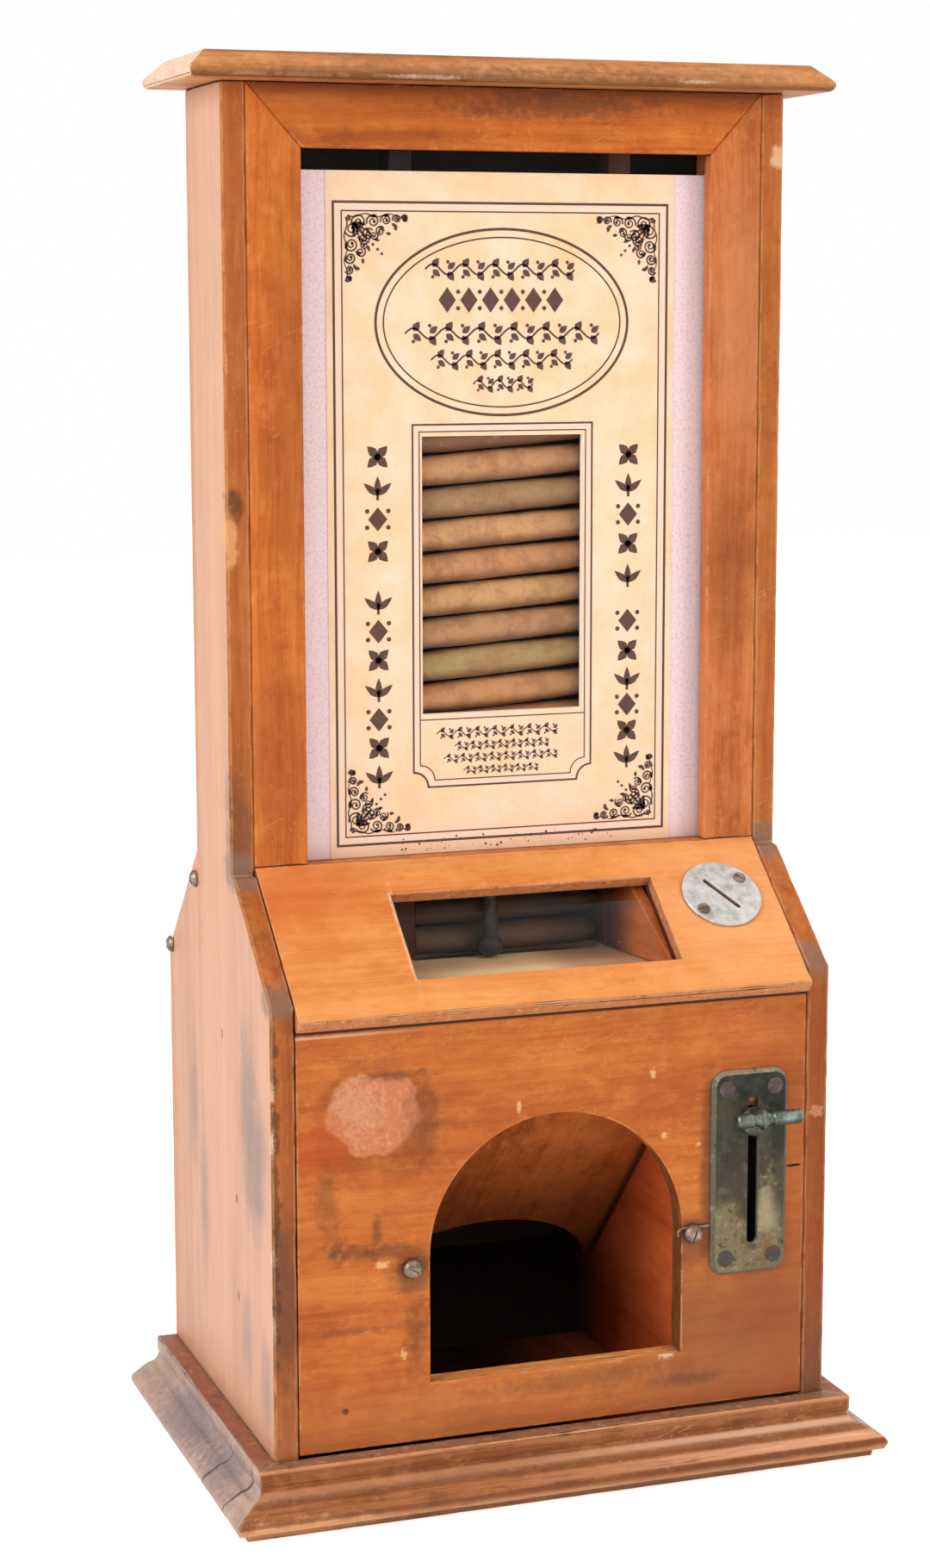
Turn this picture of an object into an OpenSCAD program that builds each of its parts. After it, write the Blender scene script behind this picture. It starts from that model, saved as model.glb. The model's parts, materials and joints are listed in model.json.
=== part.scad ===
// Coin-operated cigar vending machine for a shop counter.
// A wooden cabinet holds a gravity magazine. Pushing the handle down drives a rack, a gear and
// a pinion, which draw a delivery slide to the rear, so that one cigar drops to the bin below.
// Millimetres. +Z is up, +Y points to the rear, the origin is the middle of the underside.

/* [Cabinet] */
// Outside width over the two side boards
cabinet_w = 305; // [298:1:325]
// Thickness of the side boards, partitions and upright panels
board_t = 12.7; // [11.5:0.1:13.5]
// Depth of the lower cabinet
lower_depth = 206; // [200:1:225]
// Depth of the upper cabinet
upper_depth = 70; // [68:1:80]
// Distance of the upper front behind the lower front
front_setback = 71; // [70:0.5:74]
// Height of the side boards
cabinet_h = 717.3; // [700:1:760]
// Height where the front slope starts
slope_foot_z = 265; // [262:0.5:270]
// Height that the front slope gains
slope_rise = 58; // [56:0.5:62]
// Level step at the top of each side board's front slope
slope_step = 5; // [2:0.5:8]
// Height where the rear slope starts
rear_foot_z = 257; // [250:1:265]
// Height where the rear slope ends
rear_top_z = 322; // [316:1:332]
// Thickness of the two sloping panels
panel_t = 9.5; // [8:0.5:11]
// Nosing of the front sloping panel past the cabinet, along the slope
slope_nosing = 10.2; // [6:0.2:14]
// Joint gap around inset panels and the door
panel_gap = 0.4; // [0.2:0.1:0.8]

/* [Plinth and cap] */
// Height of the plinth moulding
plinth_h = 31.6; // [28:0.2:36]
// Projection of the plinth's nose
plinth_nose = 26.6; // [22:0.2:30]
// Projection of the ledge on top of the plinth
plinth_ledge = 11; // [8:0.5:13]
// Projection of the plinth where it meets the counter
plinth_foot = 20; // [16:0.5:22]
// Overhang of the cap at the front and the sides
cap_overhang = 20.5; // [14:0.5:26]
// Overhang of the cap at the rear
cap_rear = 9; // [7:0.5:14]
// Thickness of the cap
cap_t = 13.7; // [11:0.1:17]
// Width of the cap's bevel
cap_bevel_w = 10; // [6:0.5:14]
// Height of the cap's rounded edge band
cap_band = 6.4; // [4:0.2:8]

/* [Display front] */
// Width of the display frame's stiles
stile_w = 28.5; // [22:0.5:34]
// Height of the frame's top rail
top_rail_h = 31.9; // [24:0.5:40]
// Height of the hidden rail under the display
bottom_rail_h = 19; // [14:0.5:22]
// Depth of the frame's face
frame_t = 9; // [7:0.5:11]
// Thickness of the display glass and of the slope glass
glass_t = 2.5; // [2:0.1:3]
// Thickness of the sign card
card_t = 0.6; // [0.4:0.1:1]
// Thickness of the mottled backing board
backing_t = 3.4; // [2.4:0.1:4.2]
// Gap between the sign card and the frame's stiles
card_margin = 15.8; // [8:0.2:22]
// Gap between the top of the cards and the frame
card_drop = 10.3; // [4:0.1:20]
// Width of the sign on each side of its window
sign_margin = 50.9; // [46:0.1:60]
// Height of the window's sill in the sign
sign_window_z = 396.5; // [380:0.5:410]
// Height of the window in the sign
sign_window_h = 144.5; // [120:0.5:160]

/* [Front slope] */
// Distance of the slope window inside the delivery bay
slope_window_margin = 0.5; // [0.5:0.5:8]
// Distance of the window below the top of the slope
slope_window_s = 23.6; // [20:0.2:26]
// Height of the window along the slope
slope_window_h = 56; // [48:0.5:57]
// Bearing of the glass around the slope window
glass_bearing = 3.5; // [2:0.5:4.5]
// Distance of the coin plate from the cabinet's right face
coin_inset = 44.5; // [42:0.5:48]
// Distance of the coin plate below the top of the slope
coin_s = 39.4; // [36:0.2:44]
// Diameter of the coin plate
coin_plate_d = 43.5; // [38:0.5:46]
// Thickness of the coin plate
coin_plate_t = 1.8; // [1.2:0.1:2.5]
// Length of the coin slot
coin_slot_l = 25.3; // [22:0.1:27]
// Width of the coin slot
coin_slot_w = 2.6; // [2:0.1:3.2]
// Angle of the coin slot from the level
coin_slot_a = 54.5; // [45:0.5:65]

/* [Front panel] */
// Distance of the delivery arch inside the delivery bay
arch_margin = 3.5; // [2:0.5:12]
// Height of the arch's sill
arch_sill_z = 63; // [55:0.5:70]
// Height of the arch's crown
arch_top_z = 199.2; // [185:0.2:202]
// Gap under the front panel
panel_foot_gap = 1.4; // [0.5:0.1:3]
// Height of the round-head screw left of the arch
left_screw_z = 125.3; // [110:0.1:140]
// Distance of that screw from the arch's edge
left_screw_gap = 9.8; // [6:0.1:12]
// Height of the round-head screw right of the arch
right_screw_z = 127.6; // [110:0.1:140]
// Distance of that screw from the arch's edge
right_screw_gap = 5.7; // [5.4:0.1:8]
// Radius of the round screw heads beside the arch
round_head_r = 5.2; // [4:0.1:5.3]
// Radius of the round screw heads on the sides
side_head_r = 4.6; // [3.5:0.1:5]

/* [Handle] */
// Distance of the handle's slot from the cabinet's right face
handle_inset = 43.9; // [42:0.1:48]
// Height of the handle at rest
handle_z = 189.4; // [186:0.2:196]
// Travel of the handle
handle_stroke = 64; // [52:1:66]
// Distance of the bar in front of the cabinet
handle_out = 14; // [11:0.5:18]
// Diameter of the bar
bar_d = 7.8; // [6:0.1:9]
// Length of the bar left of the stem
bar_left = 15; // [12:0.5:20]
// Length of the bar right of the stem
bar_right = 22; // [15:0.5:24]
// Diameter of the stem
stem_d = 5.4; // [4:0.1:5.4]
// Width of the slot in the plate
plate_slot_w = 6; // [6:0.1:7]
// Slot left open above the stem at rest
slot_top_gap = 6.9; // [2:0.1:8]
// Gap above the stem in the front panel, whose wood shows in the top of the plate's slot
panel_slot_gap = 1.2; // [0.8:0.1:2]
// Slot left open below the stem at the end of its travel
slot_foot_gap = 3.5; // [1:0.1:4]
// Width of the handle plate
plate_w = 43.4; // [38:0.2:46]
// Height of the handle plate
plate_h = 110.3; // [104:0.5:118]
// Height of the plate's lower edge
plate_z = 103; // [98:0.5:106]
// Thickness of the handle plate
plate_t = 3; // [2:0.5:4]
// Radius of the handle plate's corners
plate_round = 8.5; // [5:0.5:10]
// Width of the bevel round the handle plate
plate_bevel = 1.8; // [1:0.1:2.4]

/* [Magazine and slide] */
// Diameter of a cigar
cigar_d = 16.6; // [15:0.1:16.8]
// Room in the bay beyond each end of the cigars
cigar_room = 20; // [20:0.5:24]
// Number of cigars in the stack above the slide
cigar_count = 17; // [14:1:22]
// Spacing of the stacked cigars
cigar_pitch = 17; // [17:0.1:18]
// Lean of the upper cigars
cigar_lean = 4; // [0:0.5:4]
// Magazine's offset to the right of the cabinet's middle
mag_x = 6; // [0:0.5:6]
// Width of the compartment on each side of the delivery bay
side_bay_w = 54.1; // [52:0.1:54.1]
// Thickness of the shelf under the slide
shelf_t = 6; // [4:0.5:8]
// Running clearance of the slide
run_gap = 0.25; // [0.2:0.05:0.4]
// Distance of the finger's ball left of the middle
finger_x = 8.3; // [0:0.5:20]
// Diameter of the finger's ball
finger_ball_d = 13.4; // [10:0.2:13.4]
// Length of the guide board in front of the magazine's right wall
guide_len = 75; // [64:1:76]
// Thickness of the guide board
guide_t = 6.5; // [5:0.5:8]
// Angle of the guide board to the side of the bay
guide_a = 9; // [6:0.5:10]
// Distance of the guide board's rear edge beyond the magazine's inner face
guide_inset = 0.5; // [0.2:0.1:2]

/* [Drive] */
// Module of the teeth
tooth_module = 1.5; // [1.4:0.05:1.5]
// Teeth of the gear that the handle's rack turns
gear_teeth = 44; // [40:1:44]
// Teeth of the pinion under the slide
pinion_teeth = 16; // [14:1:16]
// Thickness of the gear and the rack plate
gear_t = 4; // [3:0.5:5]
// Width of the pinion and of the slide's rack
pinion_w = 6; // [4:0.5:6]
// Diameter of the cross shaft
shaft_d = 6; // [5:0.5:8]
// Play between meshing teeth
backlash = 0.4; // [0.3:0.05:0.5]
// Running clearance of shafts and pins, on the radius
shaft_play = 0.05; // [0.03:0.01:0.1]
// Length of the return spring at rest
spring_len = 96; // [84:1:100]
// Turns of the return spring
spring_turns = 18; // [12:1:24]
// Wire of the return spring
spring_wire = 1.4; // [1:0.1:1.6]

/* [Delivery bin] */
// Height of the deflector's foot
deflector_foot_z = 77.5; // [70:0.5:90]
// Distance of the deflector's foot behind the cabinet's front
deflector_foot_y = 134; // [120:1:145]
// Rise of the finger arch cut into the deflector's foot
deflector_arch = 48; // [30:1:50]
// Height of the ramp at the rear of the bin
ramp_h = 44; // [30:1:60]

/* [Coin drawer] */
// Height of the coin drawer's box
drawer_h = 45; // [35:1:48]
// Wall of the coin drawer's box
drawer_wall = 5; // [4:0.5:7]

/* [Rear door] */
// Height of a hinge
hinge_h = 48; // [36:1:60]
// Radius of a hinge's knuckle
knuckle_r = 3; // [2.6:0.1:3.4]
// Radius of a hinge's pin
hinge_pin_r = 1.5; // [1.2:0.1:1.6]
// Thickness of a hinge's leaf
leaf_t = 1.6; // [1.2:0.1:2]
// Width of the hinge leaf on the door
door_leaf_w = 22; // [16:1:28]
// Distance of the hinges from the ends of the door's opening
hinge_inset = 60; // [40:1:80]
// Distance of the door's knob from the side board
knob_inset = 24; // [18:1:30]
// Height of the battens between the door and its keeper board
batten_h = 20; // [14:1:26]
// Distance of the battens from the ends of the keeper board
batten_inset = 40; // [20:1:60]
// Distance of the keeper board below the cabinet's top
keeper_drop = 40; // [30:1:60]
// Thickness of the keeper board and of the strip behind the lowest cigars
keeper_t = 6; // [5:0.5:8]

/* [Hidden] */
$fn = 48;
touch_gap = 0.3;
stack_gap = 0.6;

// Cabinet planes
half_w = cabinet_w / 2;
inner_x = half_w - board_t;
rear_y = (lower_depth + plinth_nose) / 2;
front_y = rear_y - lower_depth;
panel_back_y = front_y + board_t;
upper_y = front_y + front_setback;
upper_rear_y = upper_y + upper_depth;
door_y = upper_rear_y - board_t;
rear_panel_y = rear_y - board_t;
floor_z = 2 * board_t;
slope_top_z = slope_foot_z + slope_rise;
slope_a = atan2(slope_rise, front_setback);
slope_drop = panel_t / cos(slope_a);
slope_len = front_setback / cos(slope_a);
rear_a = atan2(rear_top_z - rear_foot_z, rear_y - upper_rear_y);
rear_drop = panel_t / cos(rear_a);

// Display layers, from the front to the magazine
glass_y = upper_y + frame_t;
card_y = glass_y + glass_t;
backing_y = card_y + card_t;
mag_y = backing_y + backing_t;
stack_y = mag_y + stack_gap + cigar_d / 2;
mag_rear_y = stack_y + cigar_d / 2 + stack_gap;
opening_top_z = cabinet_h - top_rail_h;
rail_z = slope_top_z - bottom_rail_h;
part_x = inner_x - side_bay_w;
bay_half = part_x - board_t;
arch_w = 2 * (bay_half - arch_margin);
slope_window_w = 2 * (bay_half - slope_window_margin);
opening_w = 2 * (inner_x - stile_w);
card_w = opening_w - 2 * card_margin;
sign_window_w = card_w - 2 * sign_margin;
glass_lap = 8;
stop_w = stile_w - 2;
stop_t = 8;
cigar_len = 2 * (bay_half - cigar_room);
mag_half = cigar_len / 2 + 1;

// Slide and shelf
slide_top_z = slope_foot_z - touch_gap;
slide_t = cigar_d + 0.5;
slide_z = slide_top_z - slide_t;
slide_half = bay_half - 0.5;
shelf_top_z = slide_z - run_gap;
shelf_z = shelf_top_z - shelf_t;
stack_z = slide_top_z + 0.5;
pocket_play = 0.4;

// Drive
gear_r = tooth_module * gear_teeth / 2;
pinion_r = tooth_module * pinion_teeth / 2;
slide_stroke = handle_stroke * pinion_teeth / gear_teeth;
tooth_pitch = PI * tooth_module;
pressure_a = 20;
rack_back = 8.2;
rack_y = stack_y + rack_back;
gear_y = rack_y - gear_r;
gear_z = slide_z + tooth_module - pinion_r;
rack_x = part_x + 1.5;
rack_bar = 12;
arm_half = 8;
hub_r = shaft_d / 2 + 4;
hub_t = 3;
pinion_x = slide_half - 1.5 - pinion_w;
rack_ahead = ceil(slide_stroke / tooth_pitch) + 2;
rack_behind = 2;
rack_groove_h = 7;
slide_front_y = gear_y - (rack_ahead + 0.5) * tooth_pitch - 1;
slide_rear_y = stack_y + 24;
drop_y = stack_y + slide_stroke;
drop_half = cigar_d / 2 + 1.7;

// Handle
handle_x = half_w - handle_inset;
block_half = 7;
block_y = panel_back_y + 1;
block_d = 10;
slot_top_z = handle_z + stem_d / 2 + slot_top_gap;
slot_foot_z = handle_z - handle_stroke - stem_d / 2 - slot_foot_gap;
plate_x = handle_x - 1.6 - plate_w / 2;
plate_edge = 0.8;
plate_step = 22.5;
screw_neck = 2;
lug_half = 6.5;
spring_x = rack_x + gear_t + lug_half;
spring_y = stack_y - 8;
spring_r = 4.6;
spring_rod_r = 2.5;
bracket_t = 3;
bracket_half = 9;
spring_top_z = handle_z - arm_half;
spring_foot_z = spring_top_z - spring_len;

// Coin path
coin_x = half_w - coin_inset;
coin_y = upper_y - coin_s * cos(slope_a);
chute_wall = 1.5;
chute_half_x = coin_slot_l / 2 * cos(coin_slot_a) + 1;
chute_half_y = 12;
drawer_z = board_t + touch_gap;
drawer_x0 = part_x + 1;
drawer_x1 = inner_x - 1;
drawer_y = panel_back_y + 8;
drawer_top_z = drawer_z + drawer_h;
chute_z = drawer_top_z + 4;

// Rear door
hinge_x = inner_x - panel_gap / 2;
hinge_y = upper_rear_y + knuckle_r + 0.4;
hinge_zs = [rear_top_z + hinge_inset, cabinet_h - hinge_inset - hinge_h];
keeper_z = rear_top_z + 26;
keeper_half = mag_half + 8;

// Corner of the handle plate's outline at angle a about its middle, between two of its flats
function plate_corner(a) =
    let (r = plate_round / cos(plate_step / 2), right = cos(a) > 0 ? 1 : -1, up = sin(a) > 0 ? 1 : -1)
    [right * (plate_w / 2 - plate_round) + r * cos(a), up * (plate_h / 2 - plate_round) + r * sin(a)];

// Distance of the handle plate's flat at angle a from its middle
function plate_reach(a) =
    plate_round + (plate_w / 2 - plate_round) * abs(cos(a)) + (plate_h / 2 - plate_round) * abs(sin(a));

// Height of the front slope's upper face at a depth y
function slope_z(y) = slope_top_z + (y - upper_y) * tan(slope_a);

// Points of an arc about c, from angle a0 to a1
function arc(c, r, a0, a1, n = 8) =
    [for (i = [0:n]) c + r * [cos(a0 + (a1 - a0) * i / n), sin(a0 + (a1 - a0) * i / n)]];

// Involute function of an angle, in degrees
function involute(a) = tan(a) * 180 / PI - a;

// Half the angle of a gear tooth at radius r
function tooth_half(r, n) =
    let (rp = tooth_module * n / 2, rb = rp * cos(pressure_a))
    (90 / n) - (backlash / 4 / rp) * 180 / PI + involute(pressure_a) - involute(acos(min(1, rb / r)));

// Point at radius r and angle a
function polar(r, a) = r * [cos(a), sin(a)];

// Outline of a gear with n teeth and a gap between teeth at angle a
function gear_outline(n, a) =
    let (rp = tooth_module * n / 2, rt = rp + tooth_module, rf = rp - 1.25 * tooth_module,
         rb = max(rf + 0.3 * tooth_module, rp * cos(pressure_a)),
         radii = [rf, rb, (rb + rp) / 2, rp, (rp + rt) / 2, rt])
    [for (i = [0:n - 1]) let (t = a + (i + 0.5) * 360 / n) each concat(
        [for (k = [0:5]) polar(radii[k], t - tooth_half(radii[k], n))],
        [for (k = [5:-1:0]) polar(radii[k], t + tooth_half(radii[k], n))])];

// Outline of rack teeth along +X, standing up from the line y = -1.25 modules, a tooth at x = 0
function rack_teeth(first, last) =
    let (w = tooth_pitch / 4 - backlash / 4, up = 0.95 * tooth_module, down = 1.25 * tooth_module)
    [for (i = [first:last]) each [
        [i * tooth_pitch - w - down * tan(pressure_a), -down],
        [i * tooth_pitch - w + up * tan(pressure_a), up],
        [i * tooth_pitch + w - up * tan(pressure_a), up],
        [i * tooth_pitch + w + down * tan(pressure_a), -down]]];

// Extrudes a (Y, Z) outline from x0 to x1
module along_x(x0, x1) {
    translate([x0, 0, 0]) rotate([90, 0, 90]) linear_extrude(x1 - x0) children();
}

// Extrudes an (X, Z) outline from y0 to y1
module along_y(y0, y1) {
    translate([0, y1, 0]) rotate([90, 0, 0]) linear_extrude(y1 - y0) children();
}

// A box given by its two corners
module box(a, b) {
    translate(a) cube(b - a);
}

// Places its children on the front slope: x across, y up the slope from its top edge, z out of it
module on_slope() {
    translate([0, upper_y, slope_top_z]) rotate([slope_a, 0, 0]) children();
}

// A slot with round ends, length l over all, along x
module slot_2d(l, w) {
    square([l - w, w], center = true);
    for (s = [-1, 1]) translate([s * (l - w) / 2, 0]) circle(d = w);
}

// A turned knob on a foot at z = 0
module knob(r) {
    rotate_extrude() polygon(concat(
        [[0, 0], [0.62 * r, 0], [0.42 * r, 0.35 * r], [0.42 * r, 0.6 * r]],
        arc([0.55 * r, 1.05 * r], 0.45 * r, -90, 60, 8),
        [[0.4 * r, 1.58 * r], [0, 1.66 * r]]));
}

// A round screw head with a neck, on z = 0, with its slot turned by a
module round_screw(r, neck, a) {
    difference() {
        union() {
            cylinder(r = 0.45 * r, h = neck + 0.1);
            translate([0, 0, neck]) rotate_extrude()
                polygon(concat([[0, 0]], arc([0, 0], r, 0, 90, 8) * [[1, 0], [0, 0.7]]));
        }
        rotate(a) translate([-r, -0.1 * r, neck + 0.45 * r]) cube([2 * r, 0.2 * r, r]);
    }
}

// A flat slotted screw head on z = 0
module flat_screw(r, h, a) {
    difference() {
        cylinder(r = r, h = h);
        rotate(a) translate([-r - 1, -0.12 * r, 0.4 * h]) cube([2 * r + 2, 0.24 * r, h]);
    }
}

// Outline of a cigar for turning about its length, foot at 0
module cigar_outline() {
    r = cigar_d / 2;
    n = 10;
    polygon(concat(
        [[0, 0]],
        [for (i = [0:n]) let (t = i / n) [r * (0.9 + 0.1 * sin(180 * pow(t, 0.8))), t * 0.86 * cigar_len]],
        [for (i = [1:6]) let (a = 90 * i / 6) [0.9 * r * cos(a), cigar_len * (0.86 + 0.14 * sin(a))]]));
}

// A cigar along X about the origin, its foot to the left
module cigar() {
    translate([-cigar_len / 2, 0, 0]) rotate([0, 90, 0]) rotate_extrude() cigar_outline();
}

// Plinth mouldings: projection out of the cabinet against height
function plinth_outline() = concat(
    [[0, 0], [plinth_foot, 0], [plinth_foot + 0.8, 4.2], [plinth_nose - 1.2, 5]],
    arc([plinth_nose - 3.4, 8.6], 3.4, -45, 55, 6),
    [[plinth_nose - 5.8, 14.2], [plinth_ledge + 5.6, 17]],
    arc([plinth_ledge + 5.6, 23.4], 6.4, 255, 190, 6),
    [[plinth_ledge, 24.6], [plinth_ledge, plinth_h - 1]],
    arc([plinth_ledge - 1, plinth_h - 1], 1, 0, 90, 3),
    [[0, plinth_h]]);

module plinth_front() {
    color("sienna") intersection() {
        translate([0, front_y, 0]) mirror([0, 1, 0]) along_x(-half_w - plinth_nose, half_w + plinth_nose)
            polygon(plinth_outline());
        linear_extrude(plinth_h + 1) polygon([
            [-half_w, front_y], [half_w, front_y],
            [half_w + 2 * plinth_nose, front_y - 2 * plinth_nose],
            [-half_w - 2 * plinth_nose, front_y - 2 * plinth_nose]]);
    }
}

module plinth_right() {
    color("sienna") intersection() {
        translate([half_w, 0, 0]) along_y(front_y - plinth_nose, rear_y) polygon(plinth_outline());
        linear_extrude(plinth_h + 1) polygon([
            [half_w, front_y], [half_w + 2 * plinth_nose, front_y - 2 * plinth_nose],
            [half_w + 2 * plinth_nose, rear_y], [half_w, rear_y]]);
    }
}

module plinth_left() {
    mirror([1, 0, 0]) plinth_right();
}

module bottom_board() {
    color("peru") box([-inner_x, front_y, 0], [inner_x, rear_panel_y, board_t]);
}

// Outline of a side board, with the step where the front slope meets the upper front
module side_outline() {
    polygon([
        [front_y, 0], [front_y, slope_foot_z],
        [upper_y - slope_step, slope_z(upper_y - slope_step)], [upper_y, slope_z(upper_y - slope_step)],
        [upper_y, cabinet_h], [upper_rear_y, cabinet_h],
        [upper_rear_y, rear_top_z], [rear_y, rear_foot_z], [rear_y, 0]]);
}

module left_side() {
    color("tan") along_x(-half_w, -inner_x) side_outline();
}

module right_side() {
    color("tan") along_x(inner_x, half_w) side_outline();
}

// Half outline of the cap's edge: distance in from the edge against height
function cap_edge() = concat(
    [[2, 0]],
    arc([cap_band / 2, cap_band / 2], cap_band / 2, 240, 130, 5),
    [[cap_bevel_w, cap_t]]);

// Cap outline between two edges at a and b
module cap_outline(a, b) {
    polygon(concat(
        [for (p = cap_edge()) [a + p[0], p[1]]],
        [for (i = [len(cap_edge()) - 1:-1:0]) [b - cap_edge()[i][0], cap_edge()[i][1]]]));
}

module cap_board() {
    y0 = upper_y - cap_overhang;
    y1 = upper_rear_y + cap_rear;
    x1 = half_w + cap_overhang;
    color("sienna") translate([0, 0, cabinet_h]) intersection() {
        along_x(-x1, x1) cap_outline(y0, y1);
        along_y(y0, y1) cap_outline(-x1, x1);
    }
}

// Display frame, mitred at the top corners
module frame_stile(s) {
    color("chocolate") along_y(upper_y, glass_y) polygon([
        [s * opening_w / 2, slope_top_z], [s * inner_x, slope_top_z],
        [s * inner_x, cabinet_h], [s * opening_w / 2, opening_top_z]]);
}

module frame_left_stile() {
    frame_stile(-1);
}

module frame_right_stile() {
    frame_stile(1);
}

module frame_top_rail() {
    color("chocolate") along_y(upper_y, glass_y) polygon([
        [-opening_w / 2, opening_top_z], [opening_w / 2, opening_top_z],
        [inner_x, cabinet_h], [-inner_x, cabinet_h]]);
}

module frame_bottom_rail() {
    color("peru") box([-inner_x, upper_y, rail_z], [inner_x, mag_y, slope_top_z]);
}

// Outline of a display layer that stands on the bottom rail, less the sign's window if cut
module display_layer(w, top, cut) {
    difference() {
        translate([-w / 2, slope_top_z]) square([w, top - slope_top_z]);
        if (cut) translate([-sign_window_w / 2, sign_window_z]) square([sign_window_w, sign_window_h]);
    }
}

module front_glass() {
    color("lightcyan", 0.35) along_y(glass_y, card_y)
        display_layer(opening_w + 2 * glass_lap, opening_top_z + glass_lap, false);
}

module sign_card() {
    color("moccasin") along_y(card_y, backing_y) display_layer(card_w, opening_top_z - card_drop, true);
}

module sign_backing() {
    color("thistle") along_y(backing_y, mag_y)
        display_layer(opening_w + 2 * glass_lap, opening_top_z - card_drop, true);
}

// Upright strips that hold the glass and the cards against the frame
module glass_stops() {
    color("peru") for (s = [0, 1]) mirror([s, 0, 0])
        box([inner_x - stop_w, mag_y, slope_top_z], [inner_x, mag_y + stop_t, opening_top_z + glass_lap]);
}

// Sloping front panel: a section with a rounded nosing, cut upright where it meets the rail
module slope_panel() {
    nose = slope_len + slope_nosing;
    color("sandybrown") difference() {
        intersection() {
            on_slope() along_x(-inner_x + panel_gap, inner_x - panel_gap) polygon(concat(
                [[panel_t, 0]],
                arc([-nose + 1.5, -1.5], 1.5, 90, 180, 4),
                arc([-nose + 3.5, -panel_t + 3.5], 3.5, 180, 270, 6),
                [[panel_t, -panel_t]]));
            box([-inner_x, front_y - 40, 0], [inner_x, upper_y, slope_top_z + 1]);
        }
        on_slope() {
            box([-slope_window_w / 2, -slope_window_s - slope_window_h, -panel_t - 1],
                [slope_window_w / 2, -slope_window_s, 1]);
            slope_glass_seat(panel_gap / 2, 1);
            translate([coin_x, -coin_s, -panel_t - 1]) rotate(-coin_slot_a)
                linear_extrude(panel_t + 2) slot_2d(coin_slot_l + 1, coin_slot_w + 1);
        }
    }
}

// Rebate under the slope window, or the glass that lies in it
module slope_glass_seat(play, past) {
    b = glass_bearing + play;
    box([-slope_window_w / 2 - b, -slope_window_s - slope_window_h - b, -panel_t - past],
        [slope_window_w / 2 + b, -slope_window_s + b, -panel_t + glass_t]);
}

module slope_glass() {
    color("lightcyan", 0.35) on_slope() slope_glass_seat(0, 0);
}

module coin_plate() {
    color("lightgray") on_slope() translate([coin_x, -coin_s, 0]) difference() {
        cylinder(d = coin_plate_d, h = coin_plate_t);
        translate([0, 0, -1]) rotate(-coin_slot_a) linear_extrude(coin_plate_t + 2)
            slot_2d(coin_slot_l, coin_slot_w);
    }
}

module coin_plate_screws() {
    color("dimgray") on_slope() translate([coin_x, -coin_s, coin_plate_t]) rotate(90 - coin_slot_a)
        for (s = [-1, 1]) translate([s * (coin_plate_d / 2 - 5.2), 0, 0]) flat_screw(3.3, 0.9, 35 + 60 * s);
}

// Front panel with the delivery arch and the slot for the handle's stem
module front_panel() {
    color("chocolate") difference() {
        along_x(-inner_x + panel_gap, inner_x - panel_gap) polygon([
            [front_y, plinth_h + panel_foot_gap], [panel_back_y, plinth_h + panel_foot_gap],
            [panel_back_y, slope_z(panel_back_y) - slope_drop], [front_y, slope_z(front_y) - slope_drop]]);
        delivery_arch(front_y - 1, panel_back_y + 1);
        along_y(front_y - 1, panel_back_y + 1)
            handle_slot(handle_z + stem_d / 2 + panel_slot_gap, slot_foot_z - 1, plate_slot_w + 2);
    }
}

// Solid of the delivery arch from y0 to y1: a box under a half round, level at the sill
module delivery_arch(y0, y1) {
    spring_z = arch_top_z - arch_w / 2;
    box([-arch_w / 2, y0, arch_sill_z], [arch_w / 2, y1, spring_z]);
    intersection() {
        along_y(y0, y1) translate([0, spring_z]) circle(d = arch_w, $fn = 96);
        box([-arch_w, y0 - 1, spring_z - 1], [arch_w, y1 + 1, arch_top_z + 1]);
    }
}

// Upright slot for the handle's stem, w wide, from z0 up to z1
module handle_slot(z1, z0, w) {
    translate([handle_x, (z0 + z1) / 2]) rotate(90) slot_2d(z1 - z0, w);
}

module front_round_screws() {
    color("dimgray") {
        translate([-arch_w / 2 - left_screw_gap, front_y, left_screw_z]) rotate([90, 0, 0])
            round_screw(round_head_r, screw_neck, -30);
        translate([arch_w / 2 + right_screw_gap, front_y, right_screw_z]) rotate([90, 0, 0])
            round_screw(round_head_r, screw_neck, 70);
    }
}

// Bent wire that is caught behind the right-hand screw
module wire_hook() {
    r = 0.8;
    bend = 3;
    x0 = arch_w / 2 + 0.5;
    z = right_screw_z + 0.45 * round_head_r + r + 0.1;
    color("dimgray") translate([0, front_y - r, z]) {
        translate([x0, 0, 0]) rotate([0, 90, 0]) cylinder(r = r, h = plate_x - x0 - 0.5);
        translate([x0, 0, -bend]) rotate([90, 0, 0]) rotate([0, 0, 90])
            rotate_extrude(angle = 110) translate([bend, 0]) circle(r = r);
    }
}

// Plate whose corners are rounded in flats of plate_step degrees, with a bevel on every edge
module handle_plate() {
    slant = atan2(plate_bevel, plate_t - plate_edge);
    mid_x = plate_x + plate_w / 2;
    mid_z = plate_z + plate_h / 2;
    color("darkslategray") difference() {
        translate([mid_x, 0, mid_z]) along_y(front_y - plate_t, front_y)
            polygon([for (a = [plate_step / 2:plate_step:360]) plate_corner(a)]);
        along_y(front_y - plate_t - 1, front_y + 1) handle_slot(slot_top_z, slot_foot_z, plate_slot_w);
        translate([mid_x, front_y - plate_edge, mid_z]) for (a = [0:plate_step:359]) rotate([0, a, 0])
            translate([plate_reach(a), 0, 0]) rotate([0, 0, -slant])
                box([0, -plate_h, -plate_h], [plate_h, plate_h, plate_h]);
    }
}

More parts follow.
